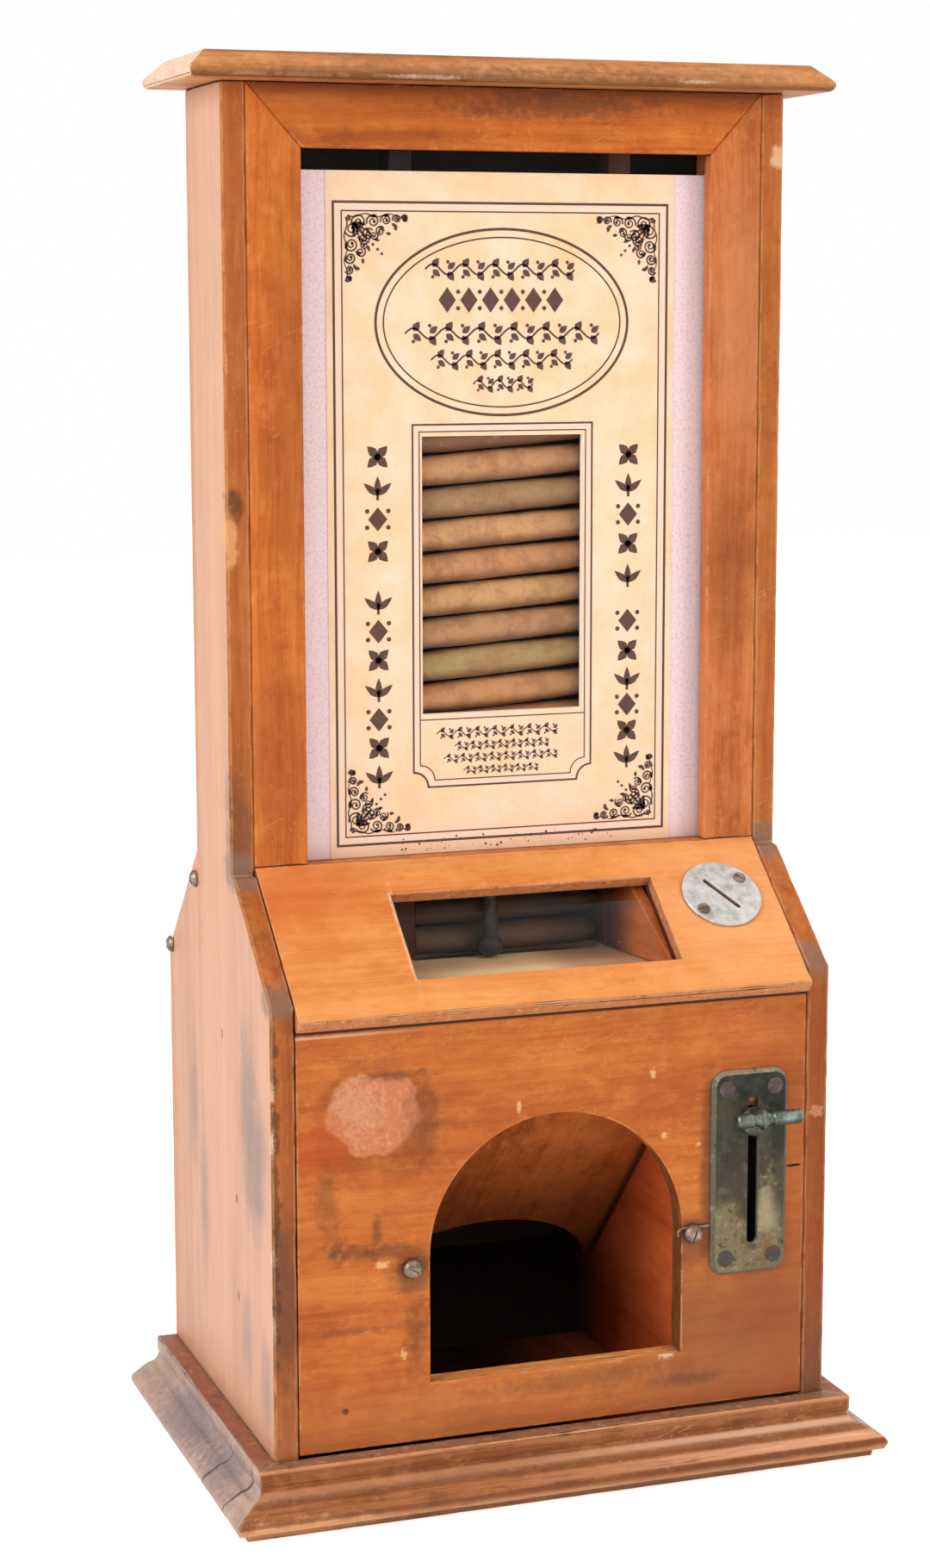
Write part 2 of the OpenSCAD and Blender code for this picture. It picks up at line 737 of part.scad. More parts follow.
module handle_plate_screws() {
    color("dimgray") for (sx = [-1, 1]) for (sz = [-1, 1])
        translate([plate_x + plate_w / 2 + sx * (plate_w / 2 - 8), front_y - plate_t,
                   plate_z + plate_h / 2 + sz * (plate_h / 2 - 9.4)])
            rotate([90, 0, 0]) flat_screw(4.4, 0.5, 15 + 40 * sx);
}

// Outline of a partition between the bay and a side compartment
module partition_outline() {
    g = touch_gap;
    polygon([
        [panel_back_y, board_t], [panel_back_y, slope_z(panel_back_y) - slope_drop - g],
        [upper_y - g, slope_z(upper_y - g) - slope_drop - g], [upper_y - g, rail_z - g],
        [mag_y + g, rail_z - g], [mag_y + g, slope_top_z + 20],
        [door_y - 2, slope_top_z + 20], [door_y - 2, rear_top_z - rear_drop - g],
        [upper_rear_y, rear_top_z - rear_drop - g],
        [rear_panel_y, rear_foot_z + board_t * tan(rear_a) - rear_drop - g],
        [rear_panel_y, board_t]]);
}

module left_partition() {
    color("sienna") along_x(-part_x, -bay_half) partition_outline();
}

module right_partition() {
    color("sienna") difference() {
        along_x(bay_half, part_x) partition_outline();
        translate([bay_half - 1, gear_y, gear_z]) rotate([0, 90, 0]) cylinder(r = hub_r, h = board_t + 2);
    }
}

// Shelf that carries the slide, with the drop opening and a notch for the pinion
module shelf() {
    color("peru") difference() {
        box([-bay_half, panel_back_y, shelf_z], [bay_half, drop_y + 30, shelf_top_z]);
        box([mag_x - mag_half - 2, drop_y - drop_half, shelf_z - 1],
            [mag_x + mag_half + 2, drop_y + drop_half, shelf_top_z + 1]);
        box([pinion_x - 1, gear_y - pinion_r - 3, shelf_z - 1],
            [bay_half + 1, gear_y + pinion_r + 3, shelf_top_z + 1]);
    }
}

// Sloping roof of the bin: it turns falling cigars to the rear and keeps hands off the stack
module deflector_board() {
    foot_y = front_y + deflector_foot_y;
    rise = arch_top_z + 6 - deflector_foot_z;
    run = foot_y - panel_back_y;
    a = atan2(rise, run);
    length = run / cos(a);
    half_cut = bay_half - 6;
    r = (half_cut * half_cut + deflector_arch * deflector_arch) / (2 * deflector_arch);
    color("saddlebrown") translate([0, foot_y, deflector_foot_z]) rotate([180 - a, 0, 0]) difference() {
        box([-bay_half, 0, -panel_t], [bay_half, length, 0]);
        translate([0, deflector_arch - r, -panel_t - 1]) cylinder(r = r, h = panel_t + 2, $fn = 96);
    }
}

module delivery_floor() {
    color("saddlebrown") box([-bay_half, panel_back_y, board_t], [bay_half, rear_panel_y, floor_z]);
}

// Ramp that rolls a cigar forward to the arch
module delivery_ramp() {
    color("saddlebrown") along_x(-bay_half, bay_half) polygon([
        [rear_panel_y - ramp_h, floor_z], [rear_panel_y, floor_z + ramp_h],
        [rear_panel_y, floor_z + ramp_h - panel_t], [rear_panel_y - ramp_h + panel_t, floor_z]]);
}

// The two upright boards that the stack runs between, and the guide board in front of the right one
module magazine_walls() {
    t = board_t - touch_gap;
    color("saddlebrown") {
        for (x = [mag_x - mag_half - t, mag_x + mag_half])
            box([x, mag_y, stack_z], [x + t, mag_rear_y, cabinet_h]);
        guide_board();
    }
}

// Board that flares from the magazine to the side of the slope window, cut to the underside of the slope
module guide_board() {
    g = touch_gap;
    rear = [mag_x + mag_half + guide_inset, mag_y];
    run = guide_len * [sin(guide_a), -cos(guide_a)];
    side = guide_t * [cos(guide_a), sin(guide_a)];
    bend_y = upper_y - (slope_top_z - slope_drop - rail_z) / tan(slope_a);
    intersection() {
        translate([0, 0, stack_z]) linear_extrude(rail_z - g - stack_z)
            polygon([rear, rear + run, rear + run + side, rear + side]);
        along_x(0, bay_half - g) polygon([
            [panel_back_y, 0], [mag_y - g, 0], [mag_y - g, rail_z], [bend_y, rail_z - g],
            [panel_back_y, slope_z(panel_back_y) - slope_drop - g]]);
    }
}

// Fixed strip behind the lowest cigars
module magazine_back() {
    color("saddlebrown") box([mag_x - keeper_half, mag_rear_y, stack_z],
        [mag_x + keeper_half, mag_rear_y + keeper_t, keeper_z - 1]);
}

// Finger under the rail that stops the lowest cigar from rolling forward
module retainer_finger() {
    r = finger_ball_d / 2;
    y = stack_y - cigar_d / 2 - touch_gap - r;
    color("slategray") translate([-finger_x, y, stack_z + r]) {
        sphere(r = r);
        cylinder(r = 0.6 * r, h = rail_z - stack_z - r);
    }
}

module cigar_stack() {
    color("peru") for (i = [0:cigar_count - 1])
        translate([mag_x, stack_y, stack_z + cigar_d / 2 + i * cigar_pitch])
            rotate([0, -min(cigar_lean, i * cigar_lean / 8), 0]) rotate([37 * i, 0, 0]) cigar();
}

// Sheet-metal chute from the coin slot down to the drawer
module coin_chute() {
    w = chute_wall;
    y0 = coin_y - chute_half_y;
    y1 = coin_y + chute_half_y;
    color("silver") translate([coin_x, 0, 0]) difference() {
        along_x(-chute_half_x - w, chute_half_x + w) chute_outline(y0 - w, y1 + w, chute_z, 0);
        along_x(-chute_half_x, chute_half_x) chute_outline(y0, y1, chute_z - 1, 5);
    }
}

// Upright outline whose top follows the underside of the front slope, raised by up
module chute_outline(y0, y1, z0, up) {
    polygon([
        [y0, z0], [y1, z0],
        [y1, slope_z(y1) - slope_drop + up], [y0, slope_z(y0) - slope_drop + up]]);
}

module rear_slope_panel() {
    color("peru") along_x(-inner_x + panel_gap, inner_x - panel_gap) polygon([
        [upper_rear_y, rear_top_z], [rear_y, rear_foot_z],
        [rear_y, rear_foot_z - rear_drop], [upper_rear_y, rear_top_z - rear_drop]]);
}

// Lower rear panel with the coin drawer's opening
module lower_rear_panel() {
    zt = rear_foot_z - rear_drop;
    color("peru") difference() {
        along_x(-inner_x + panel_gap, inner_x - panel_gap) polygon([
            [rear_panel_y, 0], [rear_y, 0], [rear_y, zt], [rear_panel_y, zt + board_t * tan(rear_a)]]);
        box([part_x, rear_panel_y - 1, board_t], [inner_x, rear_y + 1, drawer_top_z + 3]);
    }
}

// Round-head screws through the side boards at the two ends of the rear slope
module side_screws() {
    color("dimgray") for (s = [0, 1]) mirror([s, 0, 0])
        for (p = [[upper_rear_y + 3, rear_top_z - 16.5], [rear_y - 6.5, rear_foot_z + 2]])
            translate([half_w, p[0], p[1]]) rotate([0, 90, 0]) round_screw(side_head_r, 0.4, p[1]);
}

module shaft_bush() {
    color("goldenrod") translate([bay_half, gear_y, gear_z]) rotate([0, 90, 0]) difference() {
        cylinder(r = hub_r, h = board_t);
        translate([0, 0, -1]) cylinder(r = shaft_d / 2 + shaft_play, h = board_t + 2);
    }
}

// Bracket on the partition that carries the return spring and its guide rod
module spring_bracket() {
    t = bracket_t;
    y0 = spring_y - bracket_half;
    y1 = spring_y + bracket_half;
    color("dimgray") {
        box([part_x, y0, spring_foot_z - t], [spring_x + bracket_half - 1, y1, spring_foot_z]);
        box([part_x, y0, drawer_top_z + 4], [part_x + t, y1, spring_foot_z - t + 0.5]);
        translate([spring_x, spring_y, spring_foot_z - t / 2])
            cylinder(r = spring_rod_r, h = spring_len + 2 * arm_half + 8 + t / 2);
    }
}

// Hinge leaf on one side of the pin: s = 1 on the side board, s = -1 on the door
module hinge_leaf(s, w, bore, knuckles) {
    for (z = hinge_zs) translate([hinge_x, 0, z]) {
        difference() {
            union() {
                box([min(s * (knuckle_r + 0.4), s * w), upper_rear_y, 0],
                    [max(s * (knuckle_r + 0.4), s * w), upper_rear_y + leaf_t, hinge_h]);
                for (k = knuckles) translate([0, 0, k[0] * hinge_h]) {
                    h = (k[1] - k[0]) * hinge_h - touch_gap;
                    translate([0, hinge_y, 0]) cylinder(r = knuckle_r, h = h);
                    box([min(0, s * (knuckle_r + 1)), upper_rear_y + 0.5, 0],
                        [max(0, s * (knuckle_r + 1)), upper_rear_y + 0.5 + leaf_t, h]);
                }
            }
            translate([0, hinge_y, -1]) cylinder(r = bore, h = hinge_h + 2);
        }
    }
}

module door_hinge_fixed_leaves() {
    color("goldenrod") hinge_leaf(1, board_t - 1, hinge_pin_r, [[0, 0.3], [0.7, 1]]);
}

module door_hinge_pins() {
    color("gold") for (z = hinge_zs) translate([hinge_x, hinge_y, z]) cylinder(r = hinge_pin_r, h = hinge_h);
}

// Turned T-bar with a hub on the stem
module handle_bar() {
    r = bar_d / 2;
    color("slategray") translate([handle_x, front_y - handle_out, handle_z]) difference() {
        union() {
            translate([-bar_left, 0, 0]) rotate([0, 90, 0]) rotate_extrude() polygon(concat(
                [[0, 0], [r - 0.8, 0], [r, 0.8], [r, bar_left - 6], [r - 1, bar_left - 5]],
                arc([r + 0.2, bar_left], 1.6, -90, 90, 8),
                [[r - 1, bar_left + 5], [r, bar_left + 6],
                 [r, bar_left + bar_right - 0.8], [r - 0.8, bar_left + bar_right],
                 [0, bar_left + bar_right]]));
            rotate([-90, 0, 0]) cylinder(r = 4.6, h = handle_out - plate_t - 1.5);
        }
        rotate([-90, 0, 0]) cylinder(d = stem_d, h = handle_out);
    }
}

module handle_stem() {
    color("gray") translate([handle_x, front_y - handle_out, handle_z]) rotate([-90, 0, 0])
        cylinder(d = stem_d, h = handle_out + board_t + 1 + block_d);
}

// Block behind the front panel that ties the stem to the rack plate
module handle_block() {
    color("gray") difference() {
        box([rack_x + gear_t, block_y, handle_z - block_half],
            [handle_x + block_half, block_y + block_d, handle_z + block_half]);
        translate([handle_x, block_y - 1, handle_z]) rotate([-90, 0, 0])
            cylinder(d = stem_d, h = block_d + 2);
    }
}

// Angled steel plate: an arm behind the front panel and an upright rack behind the gear
module rack_plate() {
    below = ceil((gear_r * 0.25) / tooth_pitch);
    above = ceil(handle_stroke / tooth_pitch) + 2;
    rack_top = gear_z + (above + 0.5) * tooth_pitch;
    rack_foot = gear_z - (below + 0.5) * tooth_pitch;
    root_y = rack_y + 1.25 * tooth_module;
    root = -1.25 * tooth_module;
    color("gray") {
        along_x(rack_x, rack_x + gear_t) {
            translate([rack_y, gear_z]) rotate(90) polygon(concat(
                [[rack_foot - gear_z, root - rack_bar], [rack_foot - gear_z, root]],
                rack_teeth(-below, above),
                [[rack_top - gear_z, root], [rack_top - gear_z, root - rack_bar]]));
            translate([root_y, handle_z - arm_half]) square([rack_bar, rack_foot + 1 - handle_z + arm_half]);
            translate([block_y, handle_z - arm_half]) square([root_y + rack_bar - block_y, 2 * arm_half]);
        }
        difference() {
            box([rack_x + gear_t - 0.5, spring_y - lug_half, handle_z - arm_half],
                [spring_x + lug_half, spring_y + lug_half, handle_z + arm_half]);
            translate([spring_x, spring_y, handle_z - arm_half - 1])
                cylinder(r = spring_rod_r + 0.4, h = 2 * arm_half + 2);
        }
    }
}

// Points of the return spring's tube: rings of sides points, 8 rings to a turn
spring_sides = 6;
spring_rings = 8 * spring_turns;
spring_span = spring_len - spring_wire - 2 * touch_gap;
spring_points = [for (i = [0:spring_rings]) let (a = 360 * i / 8, z = spring_span * i / spring_rings)
    for (k = [0:spring_sides - 1]) let (b = 360 * k / spring_sides, d = spring_r + spring_wire / 2 * cos(b))
        [d * cos(a), d * sin(a), z + spring_wire / 2 * sin(b)]];
spring_faces = concat(
    [[for (k = [0:spring_sides - 1]) k]],
    [for (i = [0:spring_rings - 1]) for (k = [0:spring_sides - 1])
        let (a = i * spring_sides + k, b = i * spring_sides + (k + 1) % spring_sides)
            each [[a, a + spring_sides, b + spring_sides], [a, b + spring_sides, b]]],
    [[for (k = [spring_sides - 1:-1:0]) spring_rings * spring_sides + k]]);
echo(spring_least_gap = spring_span / spring_turns - spring_wire);

module return_spring() {
    color("silver") translate([spring_x, spring_y, spring_foot_z + touch_gap + spring_wire / 2])
        polyhedron(spring_points, spring_faces);
}

module cross_shaft() {
    color("silver") translate([pinion_x - 0.5, gear_y, gear_z]) rotate([0, 90, 0])
        cylinder(d = shaft_d, h = rack_x + gear_t + hub_t + 0.5 - pinion_x + 0.5);
}

module drive_gear() {
    color("goldenrod") translate([rack_x, gear_y, gear_z]) rotate([90, 0, 90]) difference() {
        union() {
            linear_extrude(gear_t) polygon(gear_outline(gear_teeth, 0));
            cylinder(r = hub_r, h = gear_t + hub_t);
        }
        translate([0, 0, -1]) cylinder(d = shaft_d, h = gear_t + hub_t + 2);
        for (i = [0:4]) rotate(36 + 72 * i) translate([gear_r * 0.56, 0, -1]) cylinder(r = 7, h = gear_t + 2);
    }
}

module slide_pinion() {
    color("goldenrod") translate([pinion_x, gear_y, gear_z]) rotate([90, 0, 90]) difference() {
        linear_extrude(pinion_w) polygon(gear_outline(pinion_teeth, 90));
        translate([0, 0, -1]) cylinder(d = shaft_d, h = pinion_w + 2);
    }
}

// Wooden slide with a pocket for one cigar and a groove for the rack
module delivery_slide() {
    half_y = cigar_d / 2 + pocket_play;
    color("burlywood") difference() {
        box([-slide_half, slide_front_y, slide_z], [slide_half, slide_rear_y, slide_top_z]);
        box([mag_x - mag_half, stack_y - half_y, slide_z - 1],
            [mag_x + mag_half, stack_y + half_y, slide_top_z + 1]);
        box([pinion_x - 0.5, slide_front_y - 1, slide_z - 1],
            [pinion_x + pinion_w + 0.5, slide_rear_y + 1, slide_z + rack_groove_h]);
    }
}

// Steel rack in the slide's groove
module slide_rack() {
    y0 = -(rack_ahead + 0.5) * tooth_pitch;
    y1 = (rack_behind + 0.5) * tooth_pitch;
    top = tooth_module - rack_groove_h;
    root = -1.25 * tooth_module;
    color("gray") along_x(pinion_x, pinion_x + pinion_w)
        translate([gear_y, slide_z + tooth_module]) mirror([0, 1]) polygon(concat(
            [[y0, top], [y0, root]], rack_teeth(-rack_ahead, rack_behind), [[y1, root], [y1, top]]));
}

module pocket_cigar() {
    color("peru") translate([mag_x, stack_y, shelf_top_z + 0.4 + cigar_d / 2]) cigar();
}

module rear_door() {
    color("peru") box([-inner_x + panel_gap, door_y, rear_top_z + 1],
        [inner_x - panel_gap, upper_rear_y, cabinet_h - 1]);
}

// Board on the door that closes the back of the magazine, on two battens
module door_keeper() {
    y0 = mag_rear_y + touch_gap;
    top = cabinet_h - keeper_drop;
    color("saddlebrown") {
        box([mag_x - keeper_half, y0, keeper_z], [mag_x + keeper_half, y0 + keeper_t, top]);
        for (z = [keeper_z + batten_inset, top - batten_inset - batten_h])
            box([mag_x - keeper_half, y0 + keeper_t - 0.5, z], [mag_x + keeper_half, door_y, z + batten_h]);
    }
}

module door_hinge_leaves() {
    color("goldenrod") hinge_leaf(-1, door_leaf_w, hinge_pin_r + shaft_play, [[0.3, 0.7]]);
}

module door_knob() {
    color("goldenrod") translate([-inner_x + knob_inset, upper_rear_y, (rear_top_z + cabinet_h) / 2])
        rotate([-90, 0, 0]) knob(9);
}

module coin_drawer_box() {
    w = drawer_wall;
    color("burlywood") difference() {
        box([drawer_x0, drawer_y, drawer_z], [drawer_x1, rear_panel_y, drawer_top_z]);
        box([drawer_x0 + w, drawer_y + w, drawer_z + w], [drawer_x1 - w, rear_panel_y - w, drawer_top_z + 1]);
    }
}

module coin_drawer_front() {
    color("peru") box([part_x + panel_gap, rear_panel_y, drawer_z],
        [inner_x - panel_gap, rear_y, drawer_top_z + 3 - panel_gap]);
}

module coin_drawer_knob() {
    color("goldenrod") translate([(part_x + inner_x) / 2, rear_y, drawer_z + drawer_h / 2])
        rotate([-90, 0, 0]) knob(8);
}

plinth_front();
plinth_left();
plinth_right();
bottom_board();
left_side();
right_side();
cap_board();
frame_left_stile();
frame_right_stile();
frame_top_rail();
frame_bottom_rail();
front_glass();
sign_card();
sign_backing();
glass_stops();
slope_panel();
slope_glass();
coin_plate();
coin_plate_screws();
front_panel();
front_round_screws();
wire_hook();
handle_plate();
handle_plate_screws();
left_partition();
right_partition();
shelf();
deflector_board();
delivery_floor();
delivery_ramp();
magazine_walls();
magazine_back();
retainer_finger();
cigar_stack();
coin_chute();
rear_slope_panel();
lower_rear_panel();
side_screws();
shaft_bush();
spring_bracket();
door_hinge_fixed_leaves();
door_hinge_pins();
handle_bar();
handle_stem();
handle_block();
rack_plate();
return_spring();
cross_shaft();
drive_gear();
slide_pinion();
delivery_slide();
slide_rack();
pocket_cigar();
rear_door();
door_keeper();
door_hinge_leaves();
door_knob();
coin_drawer_box();
coin_drawer_front();
coin_drawer_knob();
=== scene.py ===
"""Dresses the cigar vending machine: finishes, soft edges, printed sign, cigars, light and camera."""
import bmesh
import bpy
import json
import math
import random
from mathutils import Matrix, Vector, noise


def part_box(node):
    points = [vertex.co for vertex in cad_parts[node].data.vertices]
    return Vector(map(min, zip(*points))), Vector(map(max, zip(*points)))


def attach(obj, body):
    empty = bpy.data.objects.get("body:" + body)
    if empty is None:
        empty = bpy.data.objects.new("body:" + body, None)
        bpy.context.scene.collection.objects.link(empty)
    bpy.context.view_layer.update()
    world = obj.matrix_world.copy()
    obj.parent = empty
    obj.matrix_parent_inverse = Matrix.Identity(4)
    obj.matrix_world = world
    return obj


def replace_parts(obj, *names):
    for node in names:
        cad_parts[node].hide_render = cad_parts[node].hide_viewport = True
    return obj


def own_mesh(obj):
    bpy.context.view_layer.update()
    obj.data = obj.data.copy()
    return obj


MM = 0.001
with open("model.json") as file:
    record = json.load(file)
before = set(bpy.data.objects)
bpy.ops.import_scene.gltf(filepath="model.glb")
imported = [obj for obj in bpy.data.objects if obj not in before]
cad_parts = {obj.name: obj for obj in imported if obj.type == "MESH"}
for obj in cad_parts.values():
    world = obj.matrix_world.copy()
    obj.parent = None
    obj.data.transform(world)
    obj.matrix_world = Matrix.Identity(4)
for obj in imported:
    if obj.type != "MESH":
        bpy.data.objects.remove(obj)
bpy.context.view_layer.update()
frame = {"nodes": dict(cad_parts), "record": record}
nodes = frame["nodes"]
slot_of = {name: node.data.materials[0].name for name, node in nodes.items()}
bodies = frame["record"]["behaviour"]["bodies"]
body_of = {member: body for body, members in bodies.items() for member in members}
scene = bpy.context.scene


def rgb(red, green, blue):
    """Linear colour of a screen colour in 0 to 255."""
    def linear(value):
        value = value / 255
        return value / 12.92 if value <= 0.04045 else ((value + 0.055) / 1.055) ** 2.4
    return (linear(red), linear(green), linear(blue), 1.0)


finishes = {}


class Graph:
    """A material's node tree, with short calls for its nodes. The material is kept in finishes."""

    def __init__(self, name):
        self.material = bpy.data.materials.new(name)
        finishes[name] = self.material
        self.material.use_nodes = True
        self.tree = self.material.node_tree
        self.shader = self.tree.nodes["Principled BSDF"]
        self.place = self.add("ShaderNodeTexCoord").outputs["Object"]

    def feed(self, socket, value):
        if isinstance(value, bpy.types.NodeSocket):
            self.tree.links.new(value, socket)
        else:
            socket.default_value = value

    def add(self, kind, inputs=None, **settings):
        node = self.tree.nodes.new(kind)
        for key, value in settings.items():
            setattr(node, key, value)
        for key, value in (inputs or {}).items():
            self.feed(node.inputs[key], value)
        return node

    def math(self, operation, first, second=0.0, third=0.0):
        inputs = {0: first, 1: second, 2: third}
        return self.add("ShaderNodeMath", inputs, operation=operation).outputs[0]

    def vector(self, operation, first, second, output="Vector"):
        node = self.add("ShaderNodeVectorMath", {0: first, 1: second}, operation=operation)
        return node.outputs[output]

    def noise(self, scale, detail=3.0, rough=0.55, place=None):
        place = self.place if place is None else place
        inputs = {"Vector": place, "Scale": scale, "Detail": detail, "Roughness": rough}
        return self.add("ShaderNodeTexNoise", inputs).outputs[0]

    def spread(self, value, low, high):
        """0 at low, 1 at high, smooth between."""
        inputs = {"Value": value, "From Min": low, "From Max": high}
        return self.add("ShaderNodeMapRange", inputs, interpolation_type="SMOOTHSTEP").outputs[0]

    def mix(self, factor, first, second, blend="MIX"):
        node = self.add("ShaderNodeMix", data_type="RGBA", blend_type=blend)
        self.feed(node.inputs[0], factor)
        self.feed(node.inputs[6], first)
        self.feed(node.inputs[7], second)
        return node.outputs[2]

    def layer(self, colour, mask, strength, tone):
        """A colour with a tone laid over it where a mask is, at a strength."""
        return self.mix(self.math("MULTIPLY", mask, strength), colour, tone)

    def marked(self, colour, marks):
        """A colour with marks laid over it, each one a mask maker, a colour or its maker, and a strength."""
        for mask, tone, strength in marks:
            tone = tone(self) if callable(tone) else tone
            colour = self.layer(colour, mask(self), strength, tone)
        return colour

    def ramp(self, value, stops):
        node = self.add("ShaderNodeValToRGB", {0: value})
        points = node.color_ramp.elements
        while len(points) < len(stops):
            points.new(0.5)
        for point, (position, colour) in zip(points, stops):
            point.position = position
            point.color = colour
        return node.outputs[0]

    def axis(self, name):
        return self.add("ShaderNodeSeparateXYZ", {0: self.place}).outputs[name]

    def facing(self, name):
        """Part of the surface's own direction along an axis."""
        normal = self.add("ShaderNodeNewGeometry").outputs["True Normal"]
        return self.add("ShaderNodeSeparateXYZ", {0: normal}).outputs[name]

    def wavy(self, amount, scale):
        """Place moved about by a slow noise, so that straight patterns wander."""
        node = self.add("ShaderNodeTexNoise", {"Vector": self.place, "Scale": scale, "Detail": 2.0})
        moved = self.vector("SUBTRACT", node.outputs[1], (0.5, 0.5, 0.5))
        moved = self.vector("MULTIPLY", moved, (amount, amount, amount))
        return self.vector("ADD", self.place, moved)

    def blob(self, centre, radii, soft=0.4, ragged=0.8, grain=130.0):
        """1 inside an uneven patch about a centre, 0 outside. A radius of None leaves that axis free."""
        inverse = [0.0 if radius is None else 1.0 / radius for radius in radii]
        away = self.vector("SUBTRACT", self.place, centre)
        away = self.vector("MULTIPLY", away, inverse)
        distance = self.vector("LENGTH", away, (0, 0, 0), "Value")
        uneven = self.math("MULTIPLY", self.math("SUBTRACT", self.noise(grain, 4.0), 0.5), ragged * 2)
        return self.spread(self.math("ADD", distance, uneven), 1 + soft, 1 - soft)

    def edges(self, radius):
        """1 along outer edges, 0 on flat faces."""
        rounded = self.add("ShaderNodeBevel", {"Radius": radius}, samples=4).outputs[0]
        normal = self.add("ShaderNodeNewGeometry").outputs["True Normal"]
        return self.spread(self.vector("DOT_PRODUCT", rounded, normal, "Value"), 0.99, 0.86)

    def corners(self, distance):
        """1 deep in corners and joints, 0 in the open."""
        node = self.add("ShaderNodeAmbientOcclusion", {"Distance": distance}, samples=4)
        return self.spread(node.outputs["AO"], 0.72, 0.3)

    def bump(self, height, strength, distance):
        inputs = {"Height": height, "Strength": strength, "Distance": distance}
        self.feed(self.shader.inputs["Normal"], self.add("ShaderNodeBump", inputs).outputs[0])

    def finish(self, colour, roughness, metal=0.0, gloss=0.5):
        self.feed(self.shader.inputs["Base Color"], colour)
        self.feed(self.shader.inputs["Roughness"], roughness)
        self.shader.inputs["Metallic"].default_value = metal
        self.shader.inputs["Specular IOR Level"].default_value = gloss


# Wood

LEVEL = 0.88


def shaded(tones, level):
    """Tones made darker or lighter by a level."""
    return [tuple(part * level for part in tone[:3]) + (1.0,) for tone in tones]


def grain(graph, along, scale=1.0, turn=0.0):
    """Broad streaks, fine streaks and fibres of wood whose grain runs along an axis turned about X."""
    run = {"X": (0.028, 1, 1), "Y": (1, 0.028, 1), "Z": (1, 1, 0.028)}[along]
    place = graph.wavy(0.012, 7.0)
    if turn:
        inputs = {"Vector": place, "Angle": math.radians(turn)}
        place = graph.add("ShaderNodeVectorRotate", inputs, rotation_type="X_AXIS").outputs[0]
    place = graph.vector("MULTIPLY", place, run)
    broad = graph.noise(60 * scale, 4.0, 0.62, place)
    fine = graph.noise(420 * scale, 3.0, 0.65, place)
    fibres = graph.noise(1600 * scale, 2.0, 0.6, place)
    return broad, fine, fibres


def aging(graph, colour, tones, pale, aged):
    """Mottling, dark pits, pale flecks and fine scratches over a colour."""
    mottle = graph.noise(38.0, 6.0, 0.68)
    lighter = graph.math("MULTIPLY", graph.spread(mottle, 0.5, 0.7), 0.45 * aged)
    colour = graph.mix(lighter, colour, tones[2])
    darker = graph.math("MULTIPLY", graph.spread(mottle, 0.48, 0.28), 0.5 * aged)
    colour = graph.mix(darker, colour, tones[0])
    elsewhere = graph.vector("ADD", graph.place, (3.1, 1.7, 0.9))
    pits = graph.spread(graph.noise(430.0, 4.0, 0.7, elsewhere), 0.66, 0.72)
    pit_tone = shaded([tones[0]], 0.45)[0]
    colour = graph.layer(colour, pits, 0.5 * aged, pit_tone)
    groups = graph.spread(graph.noise(17.0, 3.0, 0.6, elsewhere), 0.46, 0.62)
    flecks = graph.math("MULTIPLY", graph.spread(graph.noise(340.0, 4.0, 0.7), 0.58, 0.7), groups)
    colour = graph.layer(colour, flecks, 0.4 * aged, pale)
    inputs = {"Vector": elsewhere, "Rotation": (0.2, 0.35, 0.12)}
    slanted = graph.add("ShaderNodeVectorRotate", inputs, rotation_type="EULER_XYZ").outputs[0]
    slanted = graph.vector("MULTIPLY", slanted, (0.03, 1, 1))
    scratches = graph.spread(graph.noise(900.0, 2.0, 0.5, slanted), 0.68, 0.74)
    scratches = graph.math("MULTIPLY", scratches, groups)
    return graph.layer(colour, scratches, 0.55 * aged, pale)


